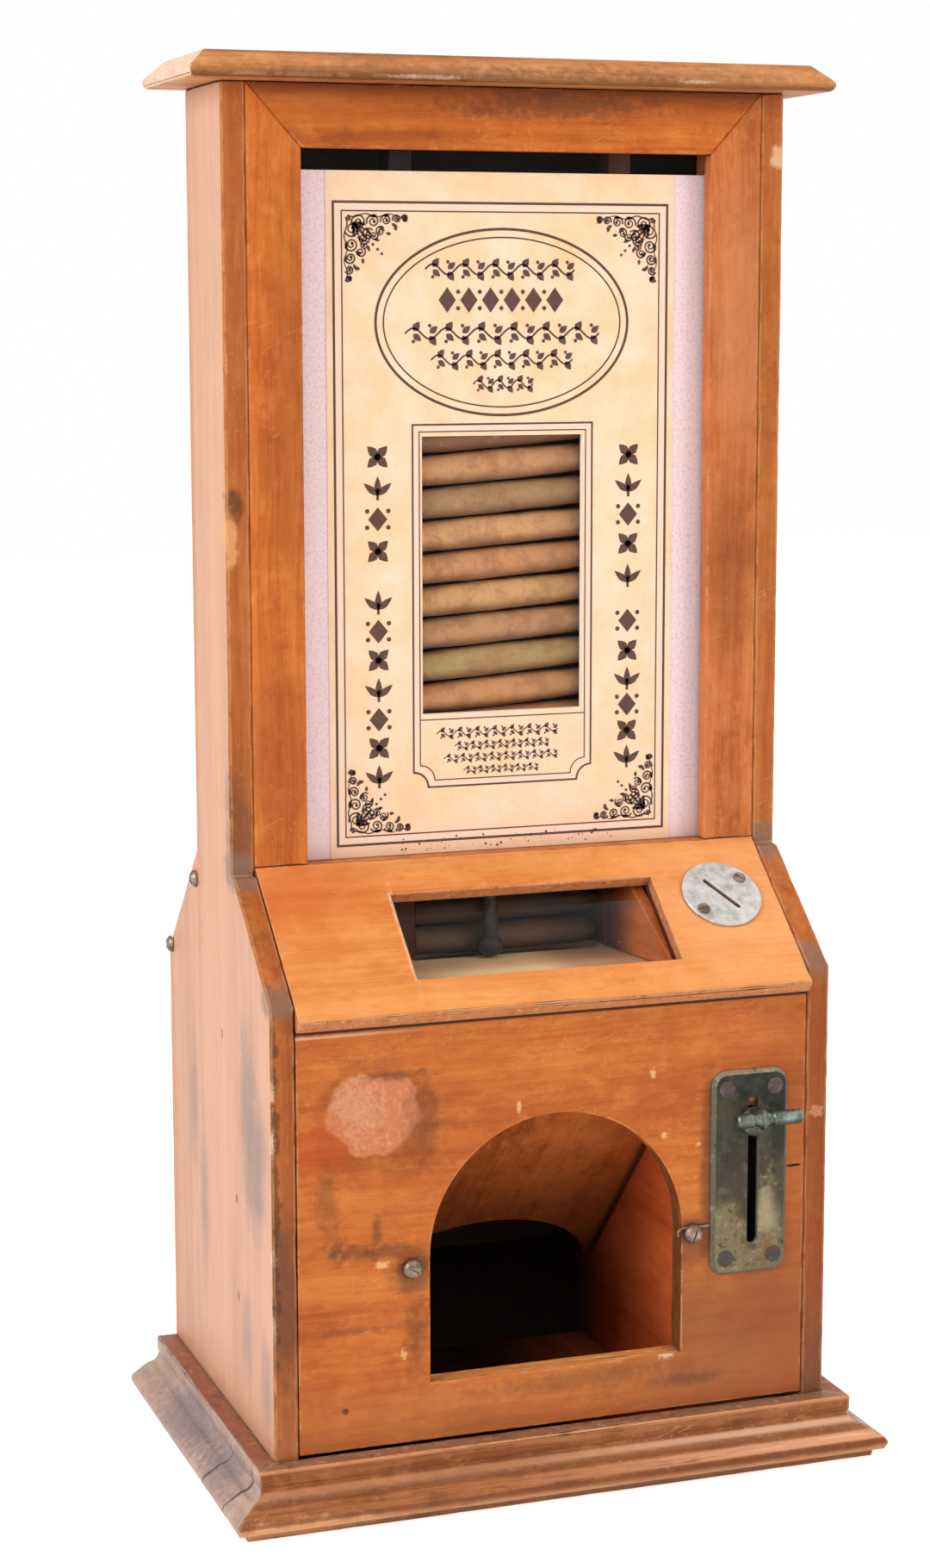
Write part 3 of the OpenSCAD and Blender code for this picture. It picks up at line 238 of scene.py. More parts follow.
def wood(name, tones, along="X", bare=None, wear=0.5, marks=(), scale=1.0, outer=None, aged=0.6, turn=0.0,
         corner_soil_and_shade=0.6, level=LEVEL):
    """Old varnished wood: tones are dark, middle and light. Marks are (mask maker, colour, strength).
    Outer is a second set of tones, for faces that look along X."""
    graph = Graph(name)
    tones = shaded(tones, level)
    broad, fine, fibres = grain(graph, along, scale, turn)
    tone = graph.math("MULTIPLY_ADD", broad, 0.58, graph.math("MULTIPLY", fine, 0.27))
    tone = graph.math("ADD", tone, graph.math("MULTIPLY", fibres, 0.15))
    colour = graph.ramp(tone, [(0.3, tones[0]), (0.5, tones[1]), (0.68, tones[2])])
    cloud = graph.spread(graph.noise(11.0, 4.0, 0.6), 0.36, 0.66)
    colour = graph.layer(colour, cloud, 0.22, tones[0])
    pores = graph.spread(fibres, 0.62, 0.72)
    colour = graph.layer(colour, pores, 0.3, tones[0])
    stretch = {"X": (0.4, 1, 1), "Y": (1, 0.4, 1), "Z": (1, 1, 0.4)}[along]
    ripple = graph.noise(150.0, 3.0, 0.62, graph.vector("MULTIPLY", graph.wavy(0.008, 40.0), stretch))
    colour = graph.layer(colour, graph.spread(ripple, 0.52, 0.7), 0.5 * aged, tones[2])
    colour = graph.layer(colour, graph.spread(ripple, 0.46, 0.3), 0.4 * aged, tones[0])
    pale = tones[2] if bare is None else shaded([bare], level)[0]
    colour = aging(graph, colour, tones, pale, aged)
    if outer is not None:
        outer = shaded(outer, level)
        side = graph.ramp(tone, [(0.3, outer[0]), (0.5, outer[1]), (0.68, outer[2])])
        side = aging(graph, side, outer, outer[2], 0.5)
        across = graph.spread(graph.math("ABSOLUTE", graph.facing("X")), 0.8, 0.95)
        colour = graph.mix(across, colour, side)
    colour = graph.marked(colour, marks)
    if bare is not None:
        chips = graph.spread(graph.noise(95.0, 5.0, 0.7), 0.62 - 0.3 * wear, 0.66 - 0.2 * wear)
        worn = graph.math("MULTIPLY", graph.edges(0.0016), chips)
        colour = graph.layer(colour, worn, 0.85, pale)
    # Soiling and painted shade: darker in corners and joints, found by ambient occlusion, for the soiling
    # and the shade that gather there.
    soil_and_shade = graph.math("MULTIPLY", graph.corners(0.005), corner_soil_and_shade)
    colour = graph.mix(soil_and_shade, colour, rgb(38, 20, 12))
    height = graph.math("ADD", graph.math("MULTIPLY", fine, 0.6), graph.math("MULTIPLY", fibres, 0.5))
    graph.bump(height, 0.22, 0.0004)
    roughness = graph.math("MULTIPLY_ADD", fine, 0.25, 0.38)
    graph.finish(colour, roughness, gloss=0.22)


def spot(centre, radii, **how):
    """A mark's mask: a blob about a point given in millimetres."""
    centre = tuple(value * MM for value in centre)
    radii = tuple(None if value is None else value * MM for value in radii)
    return lambda graph: graph.blob(centre, radii, **how)


def smear(centre, radii):
    """A mark's mask: a thin ragged smear of soiling."""
    return spot(centre, radii, soft=0.8, ragged=1.5, grain=230)


def smudge(centre, radii):
    """A mark's mask: a soft cloud of soiling."""
    return spot(centre, radii, soft=0.9, ragged=0.8, grain=60)


def chip(centre, radii):
    """A mark's mask: a small ragged chip in the varnish."""
    return spot(centre, radii, soft=0.5, ragged=1.3, grain=480)


def below(axis, low, high):
    """A mark's mask: 1 under low and 0 over high along an axis, in millimetres."""
    return lambda graph: graph.spread(graph.axis(axis), high * MM, low * MM)


def beyond(axis, low, high):
    """A mark's mask: 0 under low and 1 over high along an axis, in millimetres."""
    return lambda graph: graph.spread(graph.axis(axis), low * MM, high * MM)


# The sloping front's lean, and its distance from the origin across its face in millimetres
SLOPE_LEAN = math.radians(39.25)
SLOPE_FACE = 261.97


def under_slope(low, high):
    """A mark's mask: 1 deeper than high and 0 higher than low under the sloping front, in millimetres."""
    upright = (0, -math.sin(SLOPE_LEAN), math.cos(SLOPE_LEAN))

    def mask(graph):
        height = graph.vector("DOT_PRODUCT", graph.place, upright, "Value")
        return graph.spread(height, (SLOPE_FACE - low) * MM, (SLOPE_FACE - high) * MM)
    return mask


def both(first, second):
    """A mark's mask: where two masks meet."""
    return lambda graph: graph.math("MULTIPLY", first(graph), second(graph))


def band(axis, start, full, fade, end):
    """A mark's mask: 1 between full and fade along an axis, and 0 before start and after end."""
    return both(beyond(axis, start, full), below(axis, fade, end))


def outside(mask):
    """A mark's mask: where another one is not."""
    return lambda graph: graph.math("SUBTRACT", 1.0, mask(graph))


def turned(axis, low, high):
    """A mark's mask: from 0 to 1 as the surface's direction along an axis goes from low to high."""
    return lambda graph: graph.spread(graph.facing(axis), low, high)


def scuffed(base, pale, dark, scale=520.0, stretch=(1, 1, 1)):
    """A mark's colour: a base with pale and dark fibres."""
    def colour(graph):
        fibre = graph.noise(scale, 4.0, 0.7, graph.vector("MULTIPLY", graph.place, stretch))
        tone = graph.mix(graph.spread(fibre, 0.55, 0.68), base, pale)
        return graph.mix(graph.spread(fibre, 0.44, 0.32), tone, dark)
    return colour


def on_front(mask, colour, *rows):
    """Marks of one kind seen from the front. Rows are x, z, their two radii and a strength."""
    return [(mask((x, 0, z), (across, None, up)), colour, strength) for x, z, across, up, strength in rows]


def on_side(mask, colour, *rows):
    """Marks of one kind seen from the side. Rows are y, z, their two radii and a strength."""
    return [(mask((0, y, z), (None, along, up)), colour, strength) for y, z, along, up, strength in rows]


# Colours of marks
BARE = rgb(236, 176, 118)
WHITISH = rgb(238, 204, 172)
GREY = rgb(122, 104, 102)
STAIN = rgb(70, 46, 36)
BLACK = rgb(16, 10, 7)
# Tones of each wood: dark, middle and light
front_tones = (rgb(162, 74, 24), rgb(210, 114, 47), rgb(228, 140, 66))
stile_tones = (rgb(150, 62, 16), rgb(217, 116, 44), rgb(236, 146, 70))
right_stile_tones = (rgb(138, 58, 20), rgb(208, 115, 55), rgb(232, 148, 88))
rail_tones = (rgb(146, 62, 16), rgb(212, 112, 40), rgb(230, 138, 64))
slope_tones = (rgb(202, 105, 46), rgb(231, 146, 74), rgb(243, 169, 100))
edge_tones = (rgb(140, 68, 26), rgb(188, 102, 44), rgb(214, 134, 72))
side_tones = (rgb(190, 138, 112), rgb(215, 161, 130), rgb(227, 177, 144))
plinth_tones = (rgb(88, 41, 19), rgb(149, 82, 42), rgb(197, 131, 80))
plinth_side_tones = (rgb(140, 110, 98), rgb(196, 162, 145), rgb(222, 188, 168))
cap_tones = (rgb(136, 72, 32), rgb(208, 131, 68), rgb(234, 165, 103))
inner_tones = (rgb(146, 72, 34), rgb(212, 122, 66), rgb(232, 148, 88))
roof_tones = (rgb(92, 38, 14), rgb(194, 98, 42), rgb(220, 128, 64))
wall_tones = (rgb(152, 60, 26), rgb(216, 100, 48), rgb(232, 124, 66))
# Near-black tones for the boards deep inside: painted shade.
bin_shade_tones = (rgb(20, 11, 7), rgb(34, 20, 12), rgb(52, 30, 18))
slide_tones = (rgb(244, 178, 124), rgb(255, 210, 154), rgb(255, 226, 186))
guide_tones = (rgb(134, 62, 24), rgb(186, 100, 46), rgb(208, 122, 62))
floor_tones = (rgb(140, 76, 40), rgb(190, 108, 60), rgb(214, 132, 78))
rear_tones = (rgb(150, 88, 46), rgb(190, 124, 72), rgb(212, 150, 96))

# Marks of each wood, in the order they are laid on
patch = both(spot((-98.7, 0, 208), (24, None, 22), soft=0.05, ragged=0.3, grain=75),
             outside(spot((-92, 0, 233), (17, None, 6.5), soft=0.08, ragged=0.25, grain=75)))
panel_marks = [
    (spot((-98, 0, 205), (33, None, 29), soft=0.3, ragged=0.9), rgb(120, 62, 34), 0.3),
    (patch, scuffed(rgb(204, 124, 82), rgb(220, 150, 110), rgb(188, 106, 68), 300.0), 0.9),
    (both(patch, spot((-108, 0, 212), (12, None, 14), soft=0.6, ragged=3.4, grain=420)), WHITISH, 0.16),
    *on_front(smear, STAIN, (-88, 226.5, 16, 2.2, 0.6), (-74, 199, 8, 15, 0.4), (-124, 163, 5, 16, 0.4),
              (-119, 139, 5, 7, 0.55), (-110, 137, 10, 3.4, 0.5), (-98, 144, 2.4, 8, 0.55),
              (-90, 136, 9, 3.4, 0.5)),
    (spot((-79.3, 0, 124), (10, None, 11), soft=0.6), STAIN, 0.65),
    *on_front(smear, STAIN, (-77, 88, 5, 18, 0.45), (-112, 96, 16, 2, 0.35)),
    (spot((-131, 0, 193), (16, None, 12), soft=0.7), rgb(186, 66, 22), 0.5),
    (spot((74, 0, 122), (11, None, 13), soft=0.6), STAIN, 0.55),
    # Painted shadow of the handle's plate along its left edge on the panel, partly soiling.
    (spot((84.5, 0, 158), (4.5, None, 50), soft=0.6, ragged=0.5), rgb(74, 38, 24), 0.6),
    (spot((100, 0, 80), (60, None, 45), soft=0.7, grain=40), rgb(128, 74, 46), 0.6),
    *on_front(smear, STAIN, (72, 48, 18, 2.6, 0.7), (10, 55, 44, 4, 0.4)),
    (below("Z", 34, 80), rgb(164, 98, 58), 0.45),
    (beyond("X", 78, 138), rgb(150, 70, 36), 0.4),
    *on_front(chip, BARE, (-21.3, 204.3, 1.2, 2.8, 0.8), (52.5, 215.4, 1.4, 2.4, 0.8),
              (58.9, 182, 1.6, 1.4, 0.8), (78.3, 175, 1.3, 1.1, 0.8), (-95.2, 128.6, 3.2, 1.8, 0.85),
              (-84, 80, 1.4, 2.8, 0.7)),
    (spot((-115, 0, 53.7), (1.7, None, 1.7), ragged=0.3), rgb(70, 34, 20), 0.8),
    (spot((133.5, 0, 158.6), (4.4, None, 0.8), soft=0.2, ragged=0.2), BLACK, 1.0),
    # A pale band along the panel's top at the left, just below the nosing: partly a worn edge, partly a
    # painted highlight.
    (both(band("Z", 248.0, 248.8, 249.4, 250.2), below("X", -120, -60)), WHITISH, 0.45),
    (both(turned("X", -0.6, -0.85), beyond("X", 50, 55)),
     scuffed(rgb(104, 62, 32), rgb(150, 98, 56), rgb(46, 28, 16), 260.0, (1, 1, 0.3)), 0.85),
    (chip((61.5, 0, 63), (4, None, 2.2)), WHITISH, 0.8),
    # Painted shadow: a black band along the panel's top, under the sloping front's nosing.
    (beyond("Z", 250.2, 251.2), BLACK, 0.92),
    # Painted shade: the inside walls of the handle's slot made black.
    (both(band("X", 102, 103, 114, 115), turned("Y", -0.5, -0.2)), BLACK, 0.97),
    (spot((109, 0, 197.5), (3, None, 1.6), soft=0.4, ragged=0.8, grain=300), WHITISH, 0.8),
    (both(turned("Z", 0.7, 0.9), below("Z", 90, 95)),
     scuffed(rgb(228, 146, 80), rgb(255, 220, 150), rgb(76, 38, 20), 420.0, (0.1, 1, 1)), 0.95),
]
front_face = turned("Y", -0.5, -0.8)
side_marks = [
    *on_side(smudge, GREY, (65, 184, 7, 28, 0.5), (45, 132, 7, 36, 0.5), (-44, 206, 11, 40, 0.55),
             (-64, 178, 15, 30, 0.65), (-40, 80, 9, 20, 0.45), (-76, 66, 8, 20, 0.5)),
    (smear((0, -50, 190), (None, 14, 40)), GREY, 0.25),
    (spot((0, 3, 232), (None, 1.6, 3), ragged=0.3), STAIN, 0.6),
    (spot((0, -22, 150), (None, 2, 2.4), ragged=0.3), STAIN, 0.6),
    (spot((0, -23, 98), (None, 2, 3), ragged=0.3), STAIN, 0.6),
    (spot((0, 112, 140), (None, 9, 150), soft=0.7), rgb(188, 122, 74), 0.5),
    (spot((0, 50, 520), (None, 6, 220), soft=0.7), rgb(186, 112, 64), 0.55),
    (below("Z", 30, 70), rgb(168, 116, 84), 0.35),
    (spot((146, -89, 187), (4, 10, 3), soft=0.3, ragged=1.6, grain=300), rgb(230, 170, 128), 0.75),
    (spot((149, -18.7, 684), (3.5, 8, 6), soft=0.4, ragged=1.2, grain=200), rgb(236, 190, 150), 0.7),
    (spot((-148, -18.7, 508), (4, 8, 9), soft=0.4, ragged=1.0, grain=120), rgb(74, 42, 24), 0.75),
    (spot((-150, -18.7, 492), (3, 8, 14), soft=0.4, ragged=1.2, grain=120), rgb(226, 160, 104), 0.7),
    (spot((-147, -18.7, 345), (8, 8, 22), soft=0.7, ragged=1.0, grain=90), rgb(92, 62, 44), 0.55),
    (chip((-152.5, -89.7, 138), (2.4, 2.4, 4)), WHITISH, 0.8),
    (chip((-152.5, -89.7, 196), (2.0, 2.0, 6)), WHITISH, 0.8),
    (chip((-152.5, -89.7, 224), (1.8, 1.8, 5)), WHITISH, 0.7),
    (chip((-152.5, -89.7, 101), (1.6, 1.6, 8)), WHITISH, 0.7),
    (both(front_face, both(beyond("X", 138, 139), below("Z", 240, 270))), rgb(112, 42, 10), 0.4),
    (both(front_face, both(beyond("X", 138, 139), below("Z", 30, 120))), rgb(92, 66, 52), 0.55),
    (both(front_face, spot((-147, 0, 117), (12, None, 38), soft=0.6, grain=70)),
     rgb(92, 60, 46), 0.7),
    (both(front_face, spot((-151.5, 0, 180), (2.6, None, 110), ragged=2.2, grain=110)),
     rgb(62, 36, 24), 0.6),
    (both(turned("X", 0.5, 0.2), spot((0, -22, 322), (None, 14, 9), soft=0.4)), rgb(126, 104, 88), 0.7),
    (both(turned("X", 0.5, 0.2), spot((0, -86, 268), (None, 12, 9), soft=0.4)), rgb(120, 98, 84), 0.65),
]
stile_marks = [
    (spot((132, 0, 600), (16, None, 60), soft=0.7, grain=60), rgb(206, 134, 88), 0.5),
    (spot((126, 0, 470), (14, None, 40), soft=0.7, grain=60), rgb(128, 60, 28), 0.5),
    (spot((-125, 0, 380), (16, None, 40), soft=0.7, grain=60), rgb(150, 68, 26), 0.45),
    (spot((-118, 0, 560), (9, None, 90), soft=0.7, grain=60), rgb(134, 66, 28), 0.4),
]
rail_marks = [
    # Painted shade: the rail darker towards its top, and a painted shadow just under the cap.
    (beyond("Z", 692, 718), rgb(136, 66, 24), 0.45),
    (beyond("Z", 708, 717.5), rgb(66, 30, 12), 0.55),
    (smear((24, 0, 708), (50, None, 5)), STAIN, 0.6),
    (spot((121.5, 0, 695), (2.4, None, 1.5), grain=300), BLACK, 0.85),
    (smear((-70, 0, 690), (40, None, 4)), STAIN, 0.25),
]
slope_marks = [
    (spot((-112, -30, 0), (30, 26, None), soft=0.7, grain=50), rgb(206, 94, 40), 0.45),
    (spot((112, -58, 0), (50, 34, None), soft=0.7, grain=50), rgb(250, 180, 122), 0.45),
    (smear((-40, -24, 0), (90, 3, None)), STAIN, 0.1),
    (both(band("X", -74.6, -74.0, -72.0, -71.0), spot((0, -58.6, 0), (None, 22, None))),
     scuffed(rgb(226, 178, 136), rgb(255, 232, 206), rgb(170, 112, 72), 300.0), 0.75),
    (both(both(turned("X", -0.7, -0.9), beyond("X", 60, 66)), under_slope(0.3, 0.9)),
     scuffed(rgb(190, 148, 106), rgb(244, 232, 208), rgb(110, 80, 54), 240.0), 0.85),
    (turned("Z", 0.55, 0.2), scuffed(rgb(192, 122, 80), rgb(220, 156, 114), rgb(136, 78, 50), 260.0), 0.8),
]
plinth_marks = [
    (below("Z", 6, 10), rgb(204, 140, 94), 0.4),
    (spot((-152, 0, 3.5), (46, None, 5.5), soft=0.5, ragged=1.1, grain=110), rgb(236, 172, 120), 0.85),
    (turned("Z", 0.85, 0.97), scuffed(rgb(150, 112, 88), rgb(200, 160, 130), rgb(96, 66, 50), 200.0), 0.6),
    # Painted highlights and painted shade across the front's mouldings: pale bands on the ledge's edge, the
    # cove, the nose and the foot bead, stronger towards the right like a sheen, and dark bands in the hollow
    # above the nose and in the groove below it. The nose and foot bands also carry pale and dark fibres.
    (both(beyond("Z", 29.2, 30.4), turned("Z", 0.95, 0.8)), rgb(232, 150, 98), 0.6),
    (band("Z", 16.8, 18.2, 19.8, 21.4), rgb(214, 150, 108), 0.45),
    (both(band("Z", 17.2, 18.4, 19.4, 20.8), beyond("X", -60, 130)), rgb(240, 196, 168), 0.5),
    (band("Z", 15, 15.8, 16.6, 17.4), rgb(122, 72, 44), 0.4),
    (both(band("Z", 11, 12, 14.2, 15.4), beyond("X", -80, 130)),
     scuffed(rgb(232, 168, 128), rgb(250, 206, 170), rgb(140, 88, 58), 300.0, (0.06, 1, 1)), 0.75),
    (band("Z", 8.2, 9, 10.2, 11), rgb(106, 62, 36), 0.6),
    (band("Z", 3, 4, 6.8, 7.8),
     scuffed(rgb(214, 152, 110), rgb(240, 190, 146), rgb(140, 86, 56), 300.0, (0.06, 1, 1)), 0.5),
]
plinth_side_marks = [
    (smear((0, 20, 17), (None, 42, 8)), rgb(104, 100, 106), 0.55),
    (smear((0, -50, 19), (None, 30, 7)), rgb(104, 100, 104), 0.55),
    (spot((0, -46, 12), (None, 1.0, 14), soft=0.3, ragged=1.2, grain=70), rgb(50, 36, 30), 0.75),
    (spot((0, -86, 10), (None, 1.2, 14), soft=0.3, ragged=1.4, grain=70), rgb(44, 30, 26), 0.8),
    (both(turned("Z", 0.8, 0.95), beyond("Z", 28, 32)),
     scuffed(rgb(150, 80, 46), rgb(184, 116, 78), rgb(80, 42, 28), 120.0), 0.85),
]
cap_marks = [
    # Painted shade: the cap's front face darker towards its lower edge.
    (both(below("Z", 718.4, 722.6), turned("Y", -0.2, -0.5)), rgb(88, 42, 18), 0.72),
    (both(beyond("Z", 728.8, 730.4), below("X", -40, 80)), rgb(118, 66, 36), 0.5),
    *on_front(chip, WHITISH, (-52, 719.6, 16, 0.9, 0.5), (96, 720.4, 9, 0.8, 0.4)),
    (both(beyond("X", 0, 60), band("Z", 723.6, 724.6, 726.4, 728)), rgb(232, 150, 84), 0.45),
    *on_front(smear, STAIN, (-60, 722, 90, 3, 0.45), (80, 724, 70, 3, 0.45)),
    (turned("X", -0.35, -0.6),
     scuffed(rgb(232, 192, 164), rgb(246, 214, 190), rgb(196, 140, 106), 240.0), 0.9),
]
# Painted shade: the wall goes black further back inside the machine.
wall_marks = [(beyond("Y", -10, 84), BLACK, 0.95)]
# Painted shade on the deflector board: black towards its right end, darker and then black towards the back,
# and black on its upper faces.
roof_marks = [
    (beyond("X", 66, 71), BLACK, 0.85),
    (beyond("Y", -64, 10), rgb(60, 28, 11), 0.5),
    (beyond("Y", 10, 50), BLACK, 0.6),
    (turned("Z", -0.2, 0.2), BLACK, 0.9),
]
# Painted shade on the magazine's walls: near black high up, black on the left, and dark on the right guide
# towards its back end.
magazine_marks = [
    (beyond("Z", 600, 640), rgb(30, 19, 13), 0.9),
    (below("X", -30, -20), BLACK, 0.85),
    (both(both(beyond("X", 50, 52), below("Z", 330, 350)), beyond("Y", -40, -8)), rgb(34, 22, 17), 0.88),
]
# Painted shade: the delivery floor black towards the back, and black everywhere but its right end.
floor_marks = [
    (beyond("Y", 30, 110), BLACK, 0.9),
    (below("X", 0, 70), BLACK, 0.93),
]
slide_marks = [
    (beyond("X", 8, 34), rgb(160, 104, 66), 0.6),
    (below("X", -66, -40), rgb(180, 126, 94), 0.4),
]
# Painted shade: the rear boards' inner faces, which look forward into the machine, made black.
rear_marks = [(turned("Y", 0.3, -0.3), BLACK, 0.95)]
ROOF_TURN = 46.5

wood("front_wood", front_tones, "X", BARE, 0.5, panel_marks, aged=0.8, corner_soil_and_shade=0.75)
wood("stile_wood", stile_tones, "Z", BARE, 0.3, stile_marks, aged=0.7)
wood("right_stile_wood", right_stile_tones, "Z", BARE, 0.4, stile_marks, aged=0.7)
wood("rail_wood", rail_tones, "X", BARE, 0.3, rail_marks, aged=0.7)
wood("side_wood", edge_tones, "Z", BARE, 0.8, side_marks, 0.8, side_tones)
wood("slope_wood", slope_tones, "X", rgb(214, 164, 128), 0.6, slope_marks, aged=0.7, level=0.95)
wood("plinth_wood", plinth_tones, "X", rgb(232, 178, 132), 0.8, plinth_marks, aged=0.9)
wood("plinth_side_wood", plinth_side_tones, "Y", rgb(196, 164, 144), 0.5, plinth_side_marks, aged=0.7)
wood("cap_wood", cap_tones, "X", rgb(232, 182, 136), 0.6, cap_marks, aged=0.9)
wood("inner_wood", inner_tones, "Y")
wood("guide_wood", guide_tones, "Y", marks=magazine_marks, level=1.0, corner_soil_and_shade=0.0)
wood("floor_wood", floor_tones, "Y", marks=floor_marks)
wood("roof_wood", roof_tones, "Y", marks=roof_marks, scale=0.5, turn=ROOF_TURN, aged=0.9, level=1.0)
# Near-black boards deep inside: painted shade.
wood("bin_wood", bin_shade_tones, "Y")
wood("wall_wood", wall_tones, "Y", marks=wall_marks, scale=0.45, aged=0.4, level=1.0)
wood("rear_wood", rear_tones, "X", BARE, 0.4, rear_marks)
wood("slide_wood", slide_tones, "X", marks=slide_marks, level=1.0, corner_soil_and_shade=0.2)

# Paper, glass, leaf and metal

def paper(name, tones, blush, speck, cut, cloud_scale):
    """Aged card: cloudy yellowing, a blush of damp, fine specks and a pale cut edge."""
    graph = Graph(name)
    cloud = graph.noise(cloud_scale, 6.0, 0.7)
    colour = graph.ramp(cloud, [(0.34, tones[0]), (0.5, tones[1]), (0.66, tones[2])])
    damp = graph.spread(graph.noise(9.0, 3.0), 0.5, 0.7)
    colour = graph.layer(colour, damp, 0.25, blush)
    low = graph.math("MULTIPLY", graph.spread(graph.axis("Z"), 0.352, 0.322), 0.7)
    colour = graph.mix(low, colour, blush)
    fleck = graph.spread(graph.noise(620.0, 4.0, 0.7), 0.58, 0.7)
    colour = graph.layer(colour, fleck, 0.4, speck)
    colour = graph.mix(graph.spread(graph.facing("Y"), -0.7, -0.4), colour, cut)
    graph.bump(graph.noise(900.0, 3.0), 0.08, 0.0002)
    graph.finish(colour, 0.75)


def glass(name, dust, shine_share):
    """Clear sheet that reflects a little by angle, with a film of dust and bright specks."""
    graph = Graph(name)
    shine = graph.add("ShaderNodeFresnel", {"IOR": 1.45}).outputs[0]
    shine = graph.math("MULTIPLY", shine, shine_share)
    clear = graph.add("ShaderNodeBsdfTransparent").outputs[0]
    gloss = graph.add("ShaderNodeBsdfGlossy", {"Roughness": 0.04}).outputs[0]
    sheet = graph.add("ShaderNodeMixShader", {0: shine, 1: clear, 2: gloss})
    film = graph.spread(graph.noise(300.0, 6.0, 0.75), 0.5, 0.8)
    film = graph.math("MULTIPLY", film, graph.spread(graph.noise(24.0, 3.0), 0.4, 0.7))
    specks = graph.spread(graph.noise(700.0, 2.0), 0.7, 0.76)
    film = graph.math("MAXIMUM", film, graph.math("MULTIPLY", specks, 14.0))
    haze = graph.add("ShaderNodeBsdfDiffuse", {"Color": rgb(190, 192, 198)}).outputs[0]
    share = graph.math("MULTIPLY", film, dust)
    whole = graph.add("ShaderNodeMixShader", {0: share, 1: sheet.outputs[0], 2: haze})
    graph.tree.links.new(whole.outputs[0], graph.tree.nodes["Material Output"].inputs[0])


def metal(name, tones, rough, stain, amount, shine=1.0, scale=1.0, marks=(), pitted=0.18, gloss=0.5):
    """Old metal: cloudy tone, scratches, and stains of rust or soiling over an amount of it, with corners
    darkened by soiling and painted shade.
    """
    graph = Graph(name)
    cloud = graph.noise(160.0 * scale, 5.0, 0.65)
    colour = graph.ramp(cloud, [(0.34, tones[0]), (0.5, tones[1]), (0.66, tones[2])])
    colour = graph.marked(colour, marks)
    patch = graph.spread(graph.noise(420.0 * scale, 6.0, 0.7), 0.66 - 0.3 * amount, 0.74 - 0.3 * amount)
    colour = graph.layer(colour, patch, 0.75, stain)
    # Soiling and painted shade: darker in corners, found by ambient occlusion.
    soil_and_shade = graph.math("MULTIPLY", graph.corners(0.002), 0.5)
    colour = graph.mix(soil_and_shade, colour, rgb(30, 24, 18))
    polish = graph.math("MULTIPLY", graph.edges(0.0006), 0.5)
    colour = graph.mix(polish, colour, tones[2])
    roughness = graph.math("MULTIPLY_ADD", patch, 0.3, rough)
    graph.bump(graph.noise(1400.0 * scale, 4.0, 0.7), pitted, 0.0002)
    graph.finish(colour, roughness, shine, gloss)


def leaf():
    """Cigar wrapper: each cigar's own tone, veins that wind about it, blotches and shaded sides."""
    graph = Graph("cigar_leaf")
    tone = graph.add("ShaderNodeAttribute", attribute_name="leaf_tone").outputs["Color"]
    wound = graph.add("ShaderNodeAttribute", attribute_name="leaf_wind").outputs["Vector"]
    veins = graph.noise(1.0, 5.0, 0.65, graph.vector("MULTIPLY", wound, (44, 150, 1)))
    blotch = graph.spread(graph.noise(75.0, 6.0, 0.7), 0.46, 0.62)
    colour = graph.layer(tone, blotch, 0.5, rgb(150, 92, 58))
    light = graph.spread(graph.noise(120.0, 6.0, 0.75), 0.54, 0.68)
    colour = graph.layer(colour, light, 0.4, rgb(218, 164, 112))
    dark = graph.spread(veins, 0.5, 0.32)
    colour = graph.layer(colour, dark, 0.6, rgb(84, 52, 34))
    # Painted shade: each cigar darker on its underside, and on its top where the cigar above shades it.
    under = graph.spread(graph.facing("Z"), -0.1, -0.9)
    colour = graph.layer(colour, under, 0.6, rgb(84, 50, 32))
    over = graph.spread(graph.facing("Z"), 0.78, 1.0)
    colour = graph.layer(colour, over, 0.5, rgb(84, 50, 32))
    # Painted shadow: the cigars darker towards their right ends, where the sign's window edge shades them.
    end = graph.math("MULTIPLY", graph.spread(graph.axis("X"), 0.012, 0.048), 0.45)
    colour = graph.mix(end, colour, rgb(104, 66, 42))
    # Painted shade: cigars below about 360 mm, seen through the slope's window, made near black, the lowest
    # a little less so.
    low = graph.math("MULTIPLY_ADD", graph.spread(graph.axis("Z"), 0.272, 0.3), 0.22, 0.76)
    low = graph.math("MULTIPLY", low, graph.spread(graph.axis("Z"), 0.36, 0.33))
    colour = graph.mix(low, colour, rgb(15, 12, 11))
    graph.bump(graph.math("ADD", veins, blotch), 0.4, 0.0006)
    graph.finish(colour, 0.62)


